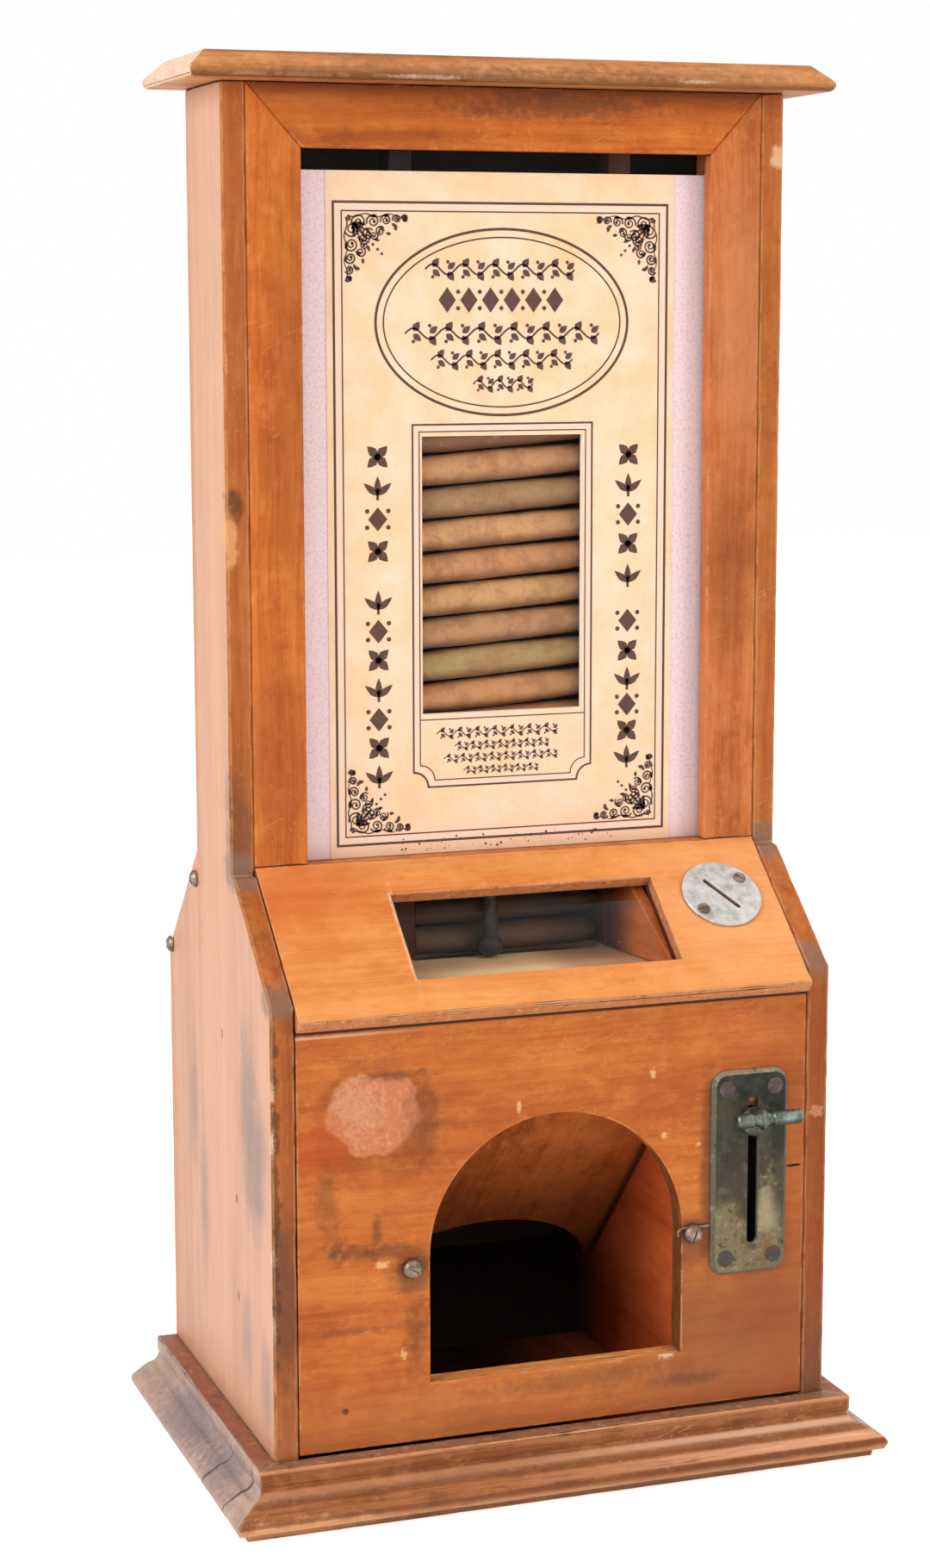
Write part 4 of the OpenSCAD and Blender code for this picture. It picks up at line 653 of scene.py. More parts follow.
khaki = scuffed(rgb(128, 113, 80), rgb(156, 142, 106), rgb(76, 62, 42), 330.0)
mottled = scuffed(rgb(104, 90, 68), rgb(160, 146, 114), rgb(56, 48, 38), 300.0)
plate_marks = [
    (below("Z", 152, 186),
     scuffed(rgb(76, 63, 50), rgb(108, 92, 78), rgb(46, 40, 33), 170.0, (1, 1, 0.6)), 0.75),
    (spot((92, 0, 116), (14, None, 28), soft=0.25, ragged=0.6, grain=110), khaki, 0.9),
    (spot((120, 0, 126), (12, None, 30), soft=0.5, ragged=1.2, grain=170), mottled, 0.9),
    (spot((108, 0, 108), (22, None, 9), soft=0.5, ragged=1.0), khaki, 0.75),
    (smear((116, 0, 134), (6, None, 14)), rgb(182, 166, 130), 0.65),
    (smear((124, 0, 146), (4, None, 10)), rgb(50, 42, 34), 0.6),
    (smear((113, 0, 182), (5, None, 10)), rgb(110, 102, 84), 0.5),
    (spot((117, 0, 113), (4, None, 9), soft=0.5, ragged=1.6, grain=260), rgb(120, 84, 34), 0.6),
    (smear((94, 0, 190), (7, None, 14)), rgb(96, 88, 66), 0.5),
    (turned("Y", -0.985, -0.93),
     scuffed(rgb(104, 102, 88), rgb(140, 138, 120), rgb(60, 58, 48), 140.0), 0.75),
    (turned("Z", 0.2, 0.6), scuffed(rgb(158, 138, 118), rgb(190, 166, 142), rgb(104, 98, 84), 140.0), 0.7),
]
handle_marks = [
    # Painted shade: the handle's undersides darker.
    (turned("Z", 0.15, -0.5), rgb(46, 50, 40), 0.8),
    (below("X", 106, 114), rgb(92, 92, 74), 0.4),
]
screw_marks = [(below("Z", 130, 150), rgb(62, 57, 50), 0.7)]
RUST = rgb(110, 62, 34)
paper("sign_paper", (rgb(250, 207, 160), rgb(252, 216, 178), rgb(253, 224, 194)),
      rgb(254, 206, 172), rgb(230, 180, 130), rgb(255, 240, 224), 46.0)
paper("backing_paper", (rgb(224, 194, 206), rgb(248, 220, 221), rgb(255, 234, 230)),
      rgb(250, 212, 202), rgb(190, 152, 170), rgb(255, 248, 240), 620.0)
glass("clear_glass", 0.0, 0.09)
glass("dusty_glass", 0.02, 0.045)
metal("coin_metal", (rgb(170, 166, 160), rgb(204, 201, 196), rgb(222, 219, 214)), 0.42,
      rgb(132, 112, 92), 0.16, 0.5)
metal("plate_metal", (rgb(32, 34, 27), rgb(44, 46, 37), rgb(60, 60, 49)), 0.5,
      rgb(40, 35, 28), 0.12, 0.0, 1.0, plate_marks, 0.12, 0.2)
metal("screw_steel", (rgb(84, 66, 54), rgb(130, 110, 94), rgb(178, 156, 138)), 0.38, RUST, 0.25,
      0.6, 1.0, pitted=0.1)
metal("finger_steel", (rgb(36, 35, 33), rgb(54, 53, 50), rgb(80, 79, 74)), 0.5, RUST, 0.1,
      0.2, 1.0, pitted=0.1, gloss=0.3)
metal("plate_screw", (rgb(64, 50, 47), rgb(86, 68, 64), rgb(112, 94, 88)), 0.5, RUST, 0.15,
      0.1, 1.0, screw_marks, 0.1, 0.3)
metal("handle_steel", (rgb(70, 82, 75), rgb(106, 116, 107), rgb(156, 164, 154)), 0.34,
      rgb(104, 96, 74), 0.14, 0.75, 0.8, handle_marks, 0.03)
# The collar takes the handle's first mark, its painted shade on the undersides.
metal("collar_steel", (rgb(66, 66, 52), rgb(92, 90, 72), rgb(128, 122, 98)), 0.5,
      rgb(58, 52, 40), 0.2, 0.3, 1.0, handle_marks[:1], 0.1, 0.3)
metal("spring_steel", (rgb(120, 120, 118), rgb(156, 156, 152), rgb(190, 190, 186)), 0.3, RUST,
      0.1, 0.9)
metal("sheet_metal", (rgb(120, 120, 116), rgb(150, 150, 146), rgb(178, 178, 172)), 0.42, RUST,
      0.16, 0.8)
metal("brass", (rgb(140, 104, 50), rgb(184, 144, 76), rgb(214, 180, 110)), 0.34, rgb(92, 66, 34),
      0.25, 0.9)
leaf()

own_finish = {
    "frame_left_stile": "stile_wood", "frame_right_stile": "right_stile_wood", "frame_top_rail": "rail_wood",
    "plinth_left": "plinth_side_wood", "plinth_right": "plinth_side_wood",
    "left_partition": "bin_wood", "right_partition": "wall_wood", "delivery_floor": "floor_wood",
    "magazine_walls": "guide_wood",
    "delivery_ramp": "bin_wood", "shelf": "bin_wood", "magazine_back": "bin_wood", "door_keeper": "bin_wood",
    "deflector_board": "roof_wood",
    "slope_glass": "dusty_glass", "handle_plate_screws": "plate_screw", "retainer_finger": "finger_steel",
}


def finish_of(node):
    """The finish of a CAD node: its own, or that of its material slot."""
    return finishes[own_finish.get(node, slot_of[node])]


for name, node in nodes.items():
    node.material_slots[0].material = finish_of(name)


# Pieces

def place_piece(name, shape, material, node, body=None):
    """Makes an object from a bmesh that stands for a CAD node and rides on its body."""
    mesh = bpy.data.meshes.new(name)
    shape.to_mesh(mesh)
    shape.free()
    mesh.materials.append(material)
    piece = bpy.data.objects.new(name, mesh)
    scene.collection.objects.link(piece)
    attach(piece, body or body_of[node])
    return piece


def skin(shape, loops):
    """Faces between loops of points that follow one another, with both ends closed."""
    count = len(loops[0])
    for first, second in zip(loops, loops[1:]):
        for index in range(count):
            after = (index + 1) % count
            shape.faces.new((first[index], first[after], second[after], second[index]))
    shape.faces.new(loops[0][::-1])
    shape.faces.new(loops[-1])


def smooth(piece, angle):
    """Smooth shading, with edges sharper than an angle in degrees left sharp."""
    piece.data.shade_smooth()
    piece.data.set_sharp_from_angle(angle=math.radians(angle))


def sharp_edges(shape):
    """Edges between two faces that meet at a clear angle."""
    return [edge for edge in shape.edges
            if len(edge.link_faces) == 2 and edge.calc_face_angle() > math.radians(22)]


def clean_copy(node):
    """The CAD node's shape with flat faces joined up."""
    shape = bmesh.new()
    shape.from_mesh(nodes[node].data)
    bmesh.ops.remove_doubles(shape, verts=shape.verts, dist=1e-6)
    bmesh.ops.dissolve_limit(shape, angle_limit=math.radians(0.5), verts=shape.verts, edges=shape.edges)
    return shape


def soften(node, soft, worn=0.0, step=0.008):
    """Stands in for a CAD node with a copy whose edges are softened, and worn uneven."""
    shape = clean_copy(node)
    if worn:
        for edge in sharp_edges(shape):
            pieces = int(edge.calc_length() / step)
            if pieces > 1:
                bmesh.ops.subdivide_edges(shape, edges=[edge], cuts=pieces - 1)
    cut = bmesh.ops.bevel(shape, geom=sharp_edges(shape), offset=soft, offset_type="OFFSET", segments=1,
                          profile=0.5, affect="EDGES", clamp_overlap=True)
    chamfers = set(cut["faces"])
    shape.normal_update()
    moves = {}
    for vert in shape.verts:
        flats = [face for face in vert.link_faces if face not in chamfers]
        slants = [face for face in vert.link_faces if face in chamfers]
        if worn and len(flats) == 1 and slants:
            flat = flats[0].normal
            slant = slants[0].normal
            inward = flat * slant.dot(flat) - slant
            roughness = noise.noise(vert.co * 210) + 0.6 * noise.noise(vert.co * 620)
            moves[vert] = inward.normalized() * worn * max(0.0, roughness)
    for vert, move in moves.items():
        vert.co += move
    piece = place_piece(node + "_piece", shape, finish_of(node), node)
    smooth(piece, 20)
    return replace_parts(piece, node)


for node in ("left_side", "right_side", "slope_panel", "plinth_front", "plinth_left", "plinth_right"):
    soften(node, 0.9 * MM, 0.9 * MM)
for node in ("front_panel", "cap_board", "frame_left_stile", "frame_right_stile", "frame_top_rail",
             "rear_slope_panel", "lower_rear_panel", "rear_door", "coin_drawer_front"):
    soften(node, 0.7 * MM, 0.5 * MM)
for node in ("deflector_board", "magazine_walls", "delivery_slide", "shelf", "coin_drawer_box"):
    soften(node, 0.5 * MM, 0.3 * MM)
for node in ("handle_plate", "coin_plate", "handle_plate_screws", "coin_plate_screws", "rack_plate",
             "handle_block", "spring_bracket"):
    soften(node, 0.25 * MM)


# Sign

class Ink:
    """Flat printed shapes on the sign, drawn in millimetres across and up."""

    def __init__(self):
        self.shape = bmesh.new()

    def area(self, points):
        verts = [self.shape.verts.new((x * MM, 0, z * MM)) for x, z in points]
        self.shape.faces.new(verts)

    def line(self, points, width, closed=False, taper=0.0):
        """A ribbon along points, narrower towards its end by taper."""
        count = len(points)
        sides = []
        for index, (x, z) in enumerate(points):
            before = points[index - 1] if index or closed else points[index]
            after = points[(index + 1) % count] if index < count - 1 or closed else points[index]
            ahead = Vector((after[0] - x, after[1] - z))
            behind = Vector((x - before[0], z - before[1]))
            ahead = ahead.normalized() if ahead.length else behind.normalized()
            behind = behind.normalized() if behind.length else ahead
            along = (ahead + behind).normalized()
            half = width * (1 - taper * index / max(1, count - 1)) / 2 / max(0.5, along.dot(ahead))
            across, up = along.y * half, along.x * half
            sides.append(((x + across, z - up), (x - across, z + up)))
        for index in range(count if closed else count - 1):
            right0, left0 = sides[index]
            right1, left1 = sides[(index + 1) % count]
            self.area([right0, right1, left1, left0])

    def oval(self, x, z, across, up, width):
        steps = 120
        turn = [2 * math.pi * index / steps for index in range(steps)]
        self.line([(x + across * math.cos(a), z + up * math.sin(a)) for a in turn], width, True)

    def dot(self, x, z, radius):
        turn = [2 * math.pi * index / 12 for index in range(12)]
        self.area([(x + radius * math.cos(a), z + radius * math.sin(a)) for a in turn])

    def leaf(self, x, z, angle, length, width):
        """A pointed leaf from its foot, at an angle in degrees."""
        a = math.radians(angle)
        ahead = Vector((math.cos(a), math.sin(a)))
        left = Vector((-ahead.y, ahead.x))
        outline = []
        for share, half in ((0, 0), (0.2, 0.7), (0.45, 1), (0.75, 0.6), (1, 0)):
            outline.append((share, -half))
        for share, half in ((0.75, 0.6), (0.45, 1), (0.2, 0.7)):
            outline.append((share, half))
        foot = Vector((x, z))
        points = [foot + ahead * share * length + left * half * width / 2 for share, half in outline]
        self.area([(point.x, point.y) for point in points])

    def scroll(self, x, z, radius, start, turns, hand, width):
        """A spiral that winds in to its centre and ends in a dot."""
        steps = int(26 * turns)
        points = []
        for index in range(steps + 1):
            share = index / steps
            reach = radius * (1 - 0.8 * share)
            angle = math.radians(start) + hand * 2 * math.pi * turns * share
            points.append((x + reach * math.cos(angle), z + reach * math.sin(angle)))
        self.line(points, width, taper=0.3)
        self.dot(points[-1][0], points[-1][1], width * 0.9)

    def piece(self, name, sunk, thick, material):
        """The drawn shapes as a thin piece whose face is sunk by that much behind the CAD card's face."""
        bmesh.ops.recalc_face_normals(self.shape, faces=self.shape.faces)
        for face in self.shape.faces:
            if face.normal.y > 0:
                face.normal_flip()
        grown = bmesh.ops.extrude_face_region(self.shape, geom=self.shape.faces[:], use_keep_orig=True)
        for item in grown["geom"]:
            if isinstance(item, bmesh.types.BMVert):
                item.co.y += thick
        for vert in self.shape.verts:
            vert.co.y += card_front + sunk
        bmesh.ops.recalc_face_normals(self.shape, faces=self.shape.faces)
        place_piece(name, self.shape, material, "sign_card")


def rectangle(half, low, high):
    return [(-half, low), (half, low), (half, high), (-half, high)]


def scalloped(half, low, high, bite):
    """A rectangle whose two lower corners are bitten out in quarter rounds."""
    turn = [math.pi / 2 * index / 8 for index in range(9)]
    right = [(half - bite * math.cos(a), low + bite * math.sin(a)) for a in turn]
    left = [(-half + bite * math.sin(a), low + bite * math.cos(a)) for a in turn]
    return right + [(half, high), (-half, high)] + left


def printed(name, tone, fade):
    """Printing ink that has faded unevenly."""
    graph = Graph(name)
    worn = graph.spread(graph.noise(420.0, 4.0, 0.7), 0.5, 0.75)
    colour = graph.layer(tone, worn, 0.45, fade)
    graph.finish(colour, 0.7)


# The corner flourish: places from the corner with radii, or angles and lengths, with no place in the fan
BIG_SCROLLS = ((8.0, 4.4, 4.0), (15.6, 4.0, 3.5), (22.4, 3.4, 2.9), (28.2, 2.8, 2.3), (32.6, 2.2, 1.7))
SMALL_SCROLLS = ((12.8, 10.6, 3.3), (19.4, 9.0, 2.6), (11.0, 16.0, 2.4))
SPRIGS = ((11.6, 7.0, 55, 5), (18.6, 6.2, 40, 4.4), (25.4, 5.0, 30, 4), (31, 3.0, 15, 3.4),
          (5.0, 8.2, 80, 4), (14.0, 1.6, -10, 4), (21.0, 1.2, -5, 3.6), (16, 12.6, 20, 3.4),
          (22.4, 10.0, 5, 3.0), (27, 6.4, 60, 2.6))
FAN = ((45, 13), (28, 9), (62, 9), (10, 6), (80, 6))


def flourish(ink, corner_x, corner_z, side, up):
    """Scrolls and leaves that fill a corner, with side and up giving its directions inward."""
    def at(u, v):
        return corner_x + side * u, corner_z + up * v

    def inward(angle):
        a = math.radians(angle)
        return math.degrees(math.atan2(up * math.sin(a), side * math.cos(a)))

    for swap in (False, True):
        def spot_at(u, v):
            return at(v, u) if swap else at(u, v)

        hand = side * up * (-1 if swap else 1)
        for u, v, radius in BIG_SCROLLS:
            ink.scroll(*spot_at(u, v), radius, 200 if side > 0 else -20, 1.6, hand, 0.95)
        for u, v, radius in SMALL_SCROLLS:
            ink.scroll(*spot_at(u, v), radius, 40 if side > 0 else 140, 1.5, -hand, 0.85)
        shares = [index / 32 for index in range(33)]
        wave = [spot_at(2 + 32 * share, 1.0 + 0.8 * math.sin(share * 16)) for share in shares]
        ink.line(wave, 0.8, taper=0.5)
        for u, v, angle, length in SPRIGS:
            ink.leaf(*spot_at(u, v), inward(90 - angle if swap else angle), length, 1.9)
    for angle, length in FAN:
        ink.leaf(*at(4.5, 4.5), inward(angle), length, 1.8)
    for u in (15.5, 18.0, 20.2):
        ink.dot(*at(u, u), 0.8)
    ink.dot(*at(2.6, 2.6), 1.3)


def vine(ink, left, right, z, tall, bold):
    """A row of ornament: a waving stem with leaves on both sides."""
    wide = right - left
    waves = max(2, round(wide / (1.7 * tall)))
    stem = []
    for index in range(waves * 12 + 1):
        share = index / (waves * 12)
        stem.append((left + wide * share, z + 0.28 * tall * math.sin(2 * math.pi * waves * share)))
    ink.line(stem, bold)
    for index in range(waves * 2):
        share = (index + 0.5) / (waves * 2)
        rising = 1 if index % 2 == 0 else -1
        x = left + wide * share
        ink.leaf(x, z + 0.12 * rising * tall, 55 * rising, 0.6 * tall, 0.42 * tall)
        ink.leaf(x, z - 0.02 * rising * tall, -40 * rising, 0.56 * tall, 0.36 * tall)
        ink.dot(x, z - 0.4 * rising * tall, 0.1 * tall)


def lozenges(ink, left, right, z, tall):
    """A bold row of ornament: lozenges with dots between them."""
    count = max(3, round((right - left) / (0.95 * tall)))
    step = (right - left) / count
    for index in range(count):
        x = left + step * (index + 0.5)
        ink.area([(x, z - tall / 2), (x + 0.4 * step, z), (x, z + tall / 2), (x - 0.4 * step, z)])
        if index:
            ink.dot(x - step / 2, z + 0.32 * tall, 0.09 * tall)
            ink.dot(x - step / 2, z - 0.32 * tall, 0.09 * tall)


def rosette(ink, x, z, size, kind):
    """One ornament of a column: a four-leaf flower, a sprig or a lozenge, by kind."""
    if kind == 0:
        for angle in (45, 135, 225, 315):
            ink.leaf(x, z, angle, 0.62 * size, 0.4 * size)
        ink.dot(x, z, 0.15 * size)
    elif kind == 1:
        for angle in (90, 40, 140):
            ink.leaf(x, z - 0.3 * size, angle, 0.8 * size, 0.3 * size)
        ink.line([(x, z - 0.5 * size), (x, z)], 0.12 * size)
    else:
        ink.area([(x, z - 0.5 * size), (x + 0.42 * size, z), (x, z + 0.5 * size), (x - 0.42 * size, z)])
        for side in (-1, 1):
            ink.dot(x + side * 0.46 * size, z + 0.34 * size, 0.1 * size)
            ink.dot(x + side * 0.46 * size, z - 0.34 * size, 0.1 * size)


printed("sign_ink", rgb(88, 58, 42), rgb(140, 100, 74))
printed("sign_scroll_ink", rgb(90, 58, 52), rgb(164, 116, 98))
printed("sign_band_tint", rgb(252, 216, 190), rgb(255, 230, 206))
card_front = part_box("sign_card")[0].y
CARD_SUNK = 0.1 * MM
INK_THICK = 0.04 * MM
TINT_THICK = 0.03 * MM
# Half width, foot and top of the border and of the window's frame, and the oval's middle and half sizes
BORDER = (91.5, 329.5, 659.5)
WINDOW = (49.7, 358.0, 547.0)
OVAL = (599.0, 69.3, 47.5)

ink = Ink()
ink.line(rectangle(*BORDER), 1.3, True)
ink.line(rectangle(BORDER[0] - 4.4, BORDER[1] + 4.4, BORDER[2] - 4.4), 0.7, True)
ink.oval(0, OVAL[0], OVAL[1], OVAL[2], 1.4)
ink.oval(0, OVAL[0], OVAL[1] - 4.2, OVAL[2] - 4.2, 0.8)
ink.line(scalloped(WINDOW[0], WINDOW[1], WINDOW[2], 8), 1.0, True)
ink.line(scalloped(WINDOW[0] - 3.6, WINDOW[1] + 3.6, WINDOW[2] - 3.6, 8), 0.6, True)
ink.line([(-46, 393.6), (46, 393.6)], 0.6)
for side, heights in ((-1, (531, 515, 499, 482.5, 456, 441, 426, 410.5, 395, 380, 365)),
                      (1, (530, 514, 498.5, 483, 466, 442, 426, 411, 397, 383, 369))):
    for index, z in enumerate(heights):
        rosette(ink, 0.9 + side * 69.6, z, 12.4, index % 3)
ink.piece("sign_ink", 0.02 * MM, INK_THICK, finishes["sign_ink"])

ink = Ink()
vine(ink, -42.5, 39.5, 626, 9.5, 1.0)
lozenges(ink, -36.5, 34.5, 610.5, 13)
vine(ink, -53.5, 53.5, 593.5, 10, 1.0)
vine(ink, -39.5, 38.5, 580, 9, 0.9)
vine(ink, -16.5, 16.5, 567.5, 7.5, 0.8)
vine(ink, -37, 31, 386, 5.5, 0.6)
vine(ink, -27, 26, 379, 4.5, 0.55)
vine(ink, -33, 31, 372.6, 4.5, 0.55)
vine(ink, -22, 20, 366, 4, 0.5)
for side in (-1, 1):
    flourish(ink, side * (BORDER[0] - 5.6), BORDER[2] - 5.6, -side, -1)
    flourish(ink, side * (BORDER[0] - 5.6), BORDER[1] + 5.6, -side, 1)
dice = random.Random(4)
for index in range(46):
    ink.dot(dice.uniform(-62, 62), dice.uniform(324.4, 331.5), dice.uniform(0.2, 0.7))
ink.piece("sign_scrolls", 0.02 * MM, INK_THICK, finishes["sign_scroll_ink"])

ink = Ink()
ink.line(rectangle(BORDER[0] - 2.2, BORDER[1] + 2.2, BORDER[2] - 2.2), 3.2, True)
ink.line(scalloped(WINDOW[0] - 1.8, WINDOW[1] + 1.8, WINDOW[2] - 1.8, 8), 2.6, True)
ink.piece("sign_bands", 0.06 * MM, TINT_THICK, finishes["sign_band_tint"])

shape = clean_copy("sign_card")
for vert in shape.verts:
    if vert.co.y < card_front + CARD_SUNK:
        vert.co.y += CARD_SUNK
sign_piece = place_piece("sign_card_piece", shape, finish_of("sign_card"), "sign_card")
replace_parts(sign_piece, "sign_card")


# Cigars

LEAF_TONES = [rgb(182, 116, 74), rgb(204, 142, 90), rgb(178, 146, 92), rgb(192, 142, 98), rgb(212, 160, 102),
              rgb(208, 144, 94), rgb(214, 158, 104), rgb(170, 132, 88), rgb(208, 150, 102), rgb(140, 96, 64)]
cigar_low, cigar_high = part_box("pocket_cigar")
CIGAR_LONG = cigar_high.x - cigar_low.x
CIGAR_R = (cigar_high.y - cigar_low.y) / 2
HEAD_FROM = 0.86
FOOT_R = 0.9


def cigar_radius(share):
    """Radius at a share of the length from the foot: a slight swell, then a rounded head, as in the CAD."""
    if share <= HEAD_FROM:
        return CIGAR_R * (FOOT_R + (1 - FOOT_R) * math.sin(math.pi * (share / HEAD_FROM) ** 0.8))
    return CIGAR_R * FOOT_R * math.sqrt(max(0.0, 1 - ((share - HEAD_FROM) / (1 - HEAD_FROM)) ** 2))


def roll_cigars(name, node, places):
    """A piece with one rolled cigar per place: its middle, lean and tone."""
    rings, around = 56, 36
    shape = bmesh.new()
    tone_layer = shape.verts.layers.float_color.new("leaf_tone")
    wind_layer = shape.verts.layers.float_vector.new("leaf_wind")
    for number, (middle, lean, tone) in enumerate(places):
        turn = Matrix.Translation(middle) @ Matrix.Rotation(-lean, 4, "Y")
        loops = []
        for ring in range(rings + 1):
            share = (ring / rings) ** 0.9
            loop = []
            for index in range(around):
                angle = 2 * math.pi * index / around
                wind = (angle / (2 * math.pi) + share * 3.2 + number * 0.37) % 1.0
                where = Vector((share * 9, math.cos(angle) * 1.3, math.sin(angle) * 1.3 + number * 7))
                radius = cigar_radius(share) - 0.16 * MM * wind + 0.22 * MM * (noise.noise(where) - 0.5)
                radius = max(radius, 0.05 * MM)
                along = (share - 0.5) * CIGAR_LONG
                point = Vector((along, radius * math.cos(angle), radius * math.sin(angle)))
                vert = shape.verts.new(turn @ point)
                vert[tone_layer] = tone
                vert[wind_layer] = (share * 2 + number * 5, wind + number * 3, 0)
                loop.append(vert)
            loops.append(loop)
        skin(shape, loops)
    bmesh.ops.recalc_face_normals(shape, faces=shape.faces)
    piece = place_piece(name, shape, finish_of(node), node)
    smooth(piece, 50)
    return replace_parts(piece, node)


LOW_PITCH, PITCH, LOW_COUNT = 16.6 * MM, 17.05 * MM, 8
stack_low, stack_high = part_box("cigar_stack")
stack_count = round((stack_high.z - stack_low.z) / PITCH)
stack_middle = (cigar_low + cigar_high) / 2
places = []
for number in range(stack_count):
    lean = math.radians(min(4.0, number * 0.5))
    rise = min(number, LOW_COUNT) * LOW_PITCH + max(0, number - LOW_COUNT) * PITCH
    middle = Vector((stack_middle.x, stack_middle.y, stack_low.z + CIGAR_R + rise))
    places.append((middle, lean, LEAF_TONES[(number - 7) % len(LEAF_TONES)]))
roll_cigars("stack_cigars", "cigar_stack", places)
roll_cigars("slide_cigar", "pocket_cigar", [(stack_middle, 0.0, LEAF_TONES[1])])


# Worn collar on the handle's stem, between the bar and the plate

# How far out from the plate, and the radius there
COLLAR = ((0.4, 7.2), (0.9, 7.9), (1.9, 7.9), (2.9, 7.1), (3.5, 5.4))
COLLAR_DROP = 3.5 * MM
COLLAR_SIDES = 40
bar_low, bar_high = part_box("handle_bar")
stem_low, stem_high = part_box("handle_stem")
collar_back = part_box("handle_plate")[0].y
collar_x = (stem_low.x + stem_high.x) / 2
collar_z = (bar_low.z + bar_high.z) / 2 - COLLAR_DROP
shape = bmesh.new()
loops = []
for away, reach in COLLAR:
    loop = []
    for index in range(COLLAR_SIDES):
        angle = 2 * math.pi * index / COLLAR_SIDES
        dent = 1 + 0.05 * noise.noise(Vector((3 * math.cos(angle), away, 3 * math.sin(angle))))
        loop.append(shape.verts.new((collar_x + reach * dent * MM * math.cos(angle), collar_back - away * MM,
                                     collar_z + reach * dent * MM * math.sin(angle))))
    loops.append(loop)
skin(shape, loops)
bmesh.ops.recalc_face_normals(shape, faces=shape.faces)
collar = place_piece("handle_collar", shape, finishes["collar_steel"], "handle_stem")
smooth(collar, 50)


# Return spring, drawn as a fixed coil on the cabinet; on the real machine it shortens as the handle comes
# down

spring_low, spring_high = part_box("return_spring")
SPRING_WIRE = 1.4 * MM
SPRING_TURNS = 18
TURN_STEPS = 28
WIRE_SIDES = 8
spring_axis = (spring_low + spring_high) / 2
spring_reach = (spring_high.x - spring_low.x - SPRING_WIRE) / 2
spring_rise = spring_high.z - spring_low.z - SPRING_WIRE
shape = bmesh.new()
loops = []
steps = SPRING_TURNS * TURN_STEPS
for index in range(steps + 1):
    angle = 2 * math.pi * index / TURN_STEPS
    loop = []
    for side in range(WIRE_SIDES):
        tilt = 2 * math.pi * side / WIRE_SIDES
        reach = spring_reach + SPRING_WIRE / 2 * math.cos(tilt)
        height = spring_low.z + SPRING_WIRE / 2 * (1 + math.sin(tilt)) + spring_rise * index / steps
        loop.append(shape.verts.new((spring_axis.x + reach * math.cos(angle),
                                     spring_axis.y + reach * math.sin(angle), height)))
    loops.append(loop)
skin(shape, loops)
bmesh.ops.recalc_face_normals(shape, faces=shape.faces)
spring = place_piece("spring_coil", shape, finish_of("return_spring"), "return_spring", "cabinet")
spring.data.shade_smooth()
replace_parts(spring, "return_spring")
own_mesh(spring)


# Stage, light and camera

for name in ("Cube", "Light", "Camera"):
    old = bpy.data.objects.get(name)
    if old is not None:
        bpy.data.objects.remove(old)

floor_shape = bmesh.new()
bmesh.ops.create_grid(floor_shape, x_segments=1, y_segments=1, size=6)
floor_mesh = bpy.data.meshes.new("floor")
floor_shape.to_mesh(floor_mesh)
floor_shape.free()
floor = bpy.data.objects.new("floor", floor_mesh)
scene.collection.objects.link(floor)
graph = Graph("floor")
graph.finish(rgb(248, 248, 248), 0.9, gloss=0.0)
floor_mesh.materials.append(graph.material)
seen = graph.add("ShaderNodeLightPath").outputs
direct = graph.math("MAXIMUM", seen["Is Camera Ray"], seen["Is Transmission Ray"])
direct = graph.math("MAXIMUM", direct, seen["Is Glossy Ray"])
graph.feed(graph.shader.inputs["Emission Color"], (1, 1, 1, 1))
graph.feed(graph.shader.inputs["Emission Strength"], graph.math("MULTIPLY", direct, 0.55))

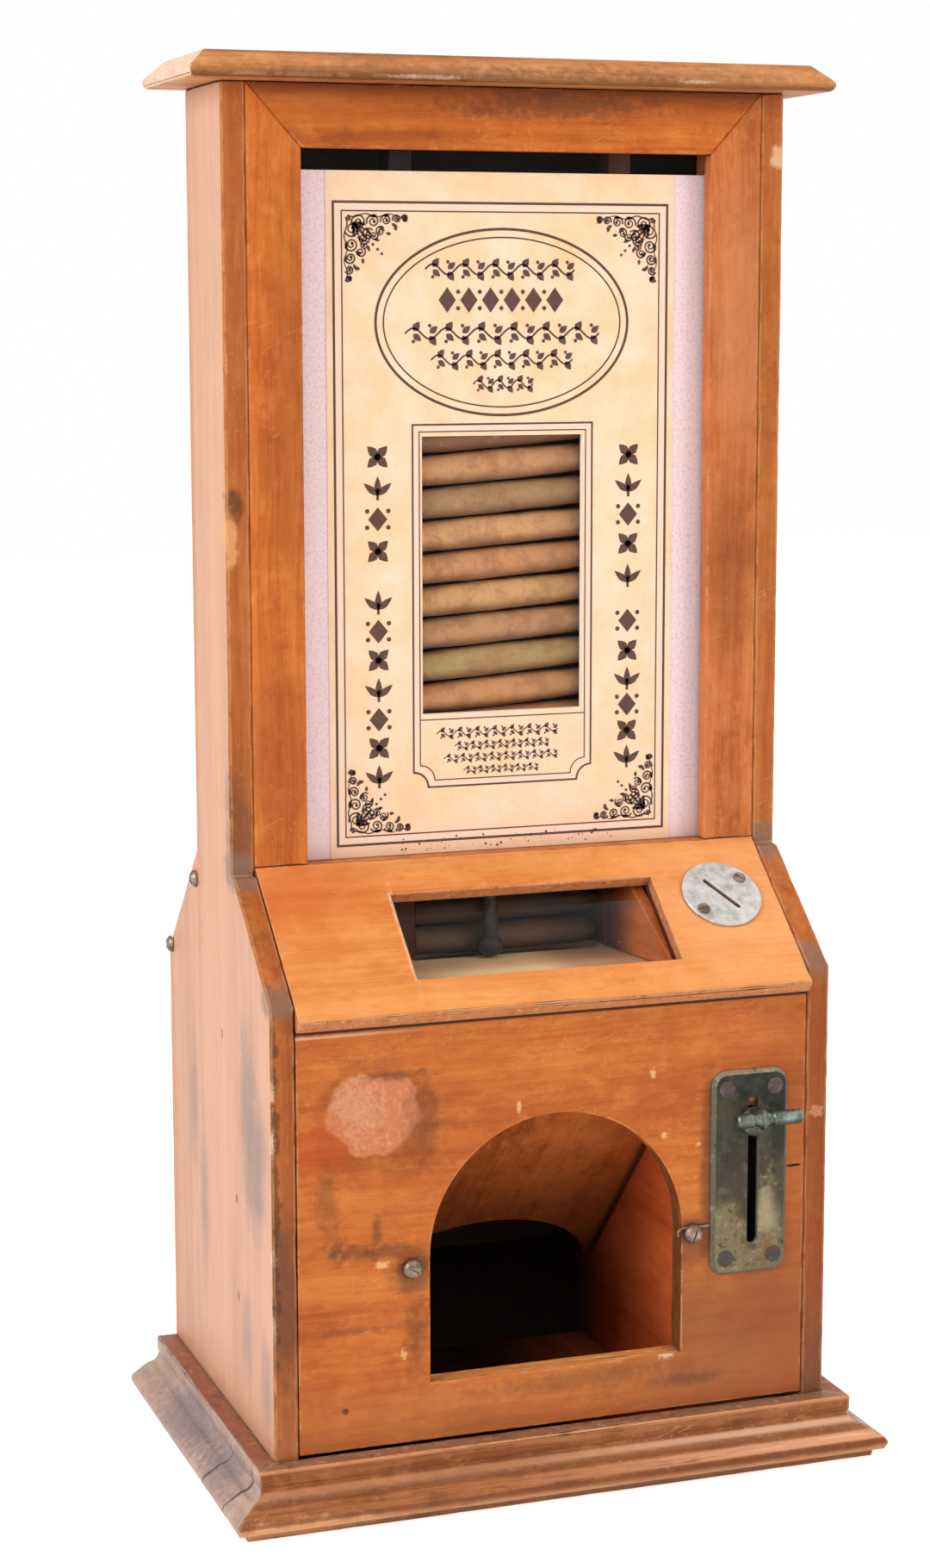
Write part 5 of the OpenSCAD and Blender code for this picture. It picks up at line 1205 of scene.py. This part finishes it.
world = bpy.data.worlds.new("studio")
scene.world = world
world.use_nodes = True
tree = world.node_tree
ambient = tree.nodes["Background"]
ambient.inputs["Strength"].default_value = 0.6
white = tree.nodes.new("ShaderNodeBackground")
white.inputs["Color"].default_value = (1, 1, 1, 1)
ambient.inputs["Color"].default_value = (1, 1, 1, 1)
seen = tree.nodes.new("ShaderNodeLightPath")
direct = seen.outputs["Is Camera Ray"]
for kind in ("Is Transmission Ray", "Is Glossy Ray"):
    either = tree.nodes.new("ShaderNodeMath")
    either.operation = "MAXIMUM"
    tree.links.new(direct, either.inputs[0])
    tree.links.new(seen.outputs[kind], either.inputs[1])
    direct = either.outputs[0]
choice = tree.nodes.new("ShaderNodeMixShader")
tree.links.new(direct, choice.inputs[0])
tree.links.new(ambient.outputs[0], choice.inputs[1])
tree.links.new(white.outputs[0], choice.inputs[2])
tree.links.new(choice.outputs[0], tree.nodes["World Output"].inputs["Surface"])


def lamp(name, power, size, place, target, mirrored=False):
    """A square soft lamp that points at a target, and shows in reflections only where mirrored is set."""
    light = bpy.data.lights.new(name, "AREA")
    light.energy = power
    light.size = size
    holder = bpy.data.objects.new(name, light)
    scene.collection.objects.link(holder)
    holder.location = place
    holder.visible_glossy = mirrored
    holder.rotation_euler = (Vector(target) - Vector(place)).to_track_quat("-Z", "Y").to_euler()


lamp("key_left", 35, 1.4, (-2.1, -0.7, 1.3), (0, 0, 0.35), True)
lamp("fill_right", 22, 1.0, (1.7, -1.9, 1.3), (0, 0, 0.35))
lamp("top", 10, 1.4, (0.3, 0.1, 2.5), (0, 0, 0.3))

# The photograph's view: the lens in millimetres, the camera's place in metres and its turns in degrees
LENS = 68.955
VIEW_FROM = (-0.5394, -1.4829, 0.6039)
VIEW_HEADING = -19.3436
VIEW_DOWN = 8.913
VIEW_ROLL = -0.094
camera_data = bpy.data.cameras.new("camera")
camera_data.sensor_width = 36
camera_data.lens = LENS
camera = bpy.data.objects.new("camera", camera_data)
scene.collection.objects.link(camera)
heading = Matrix.Rotation(math.radians(VIEW_HEADING), 4, "Z")
pitch = Matrix.Rotation(math.radians(90 - VIEW_DOWN), 4, "X")
roll = Matrix.Rotation(math.radians(VIEW_ROLL), 4, "Z")
camera.matrix_world = Matrix.Translation(VIEW_FROM) @ heading @ pitch @ roll
scene.camera = camera
scene.view_settings.view_transform = "Standard"

bpy.context.view_layer.update()
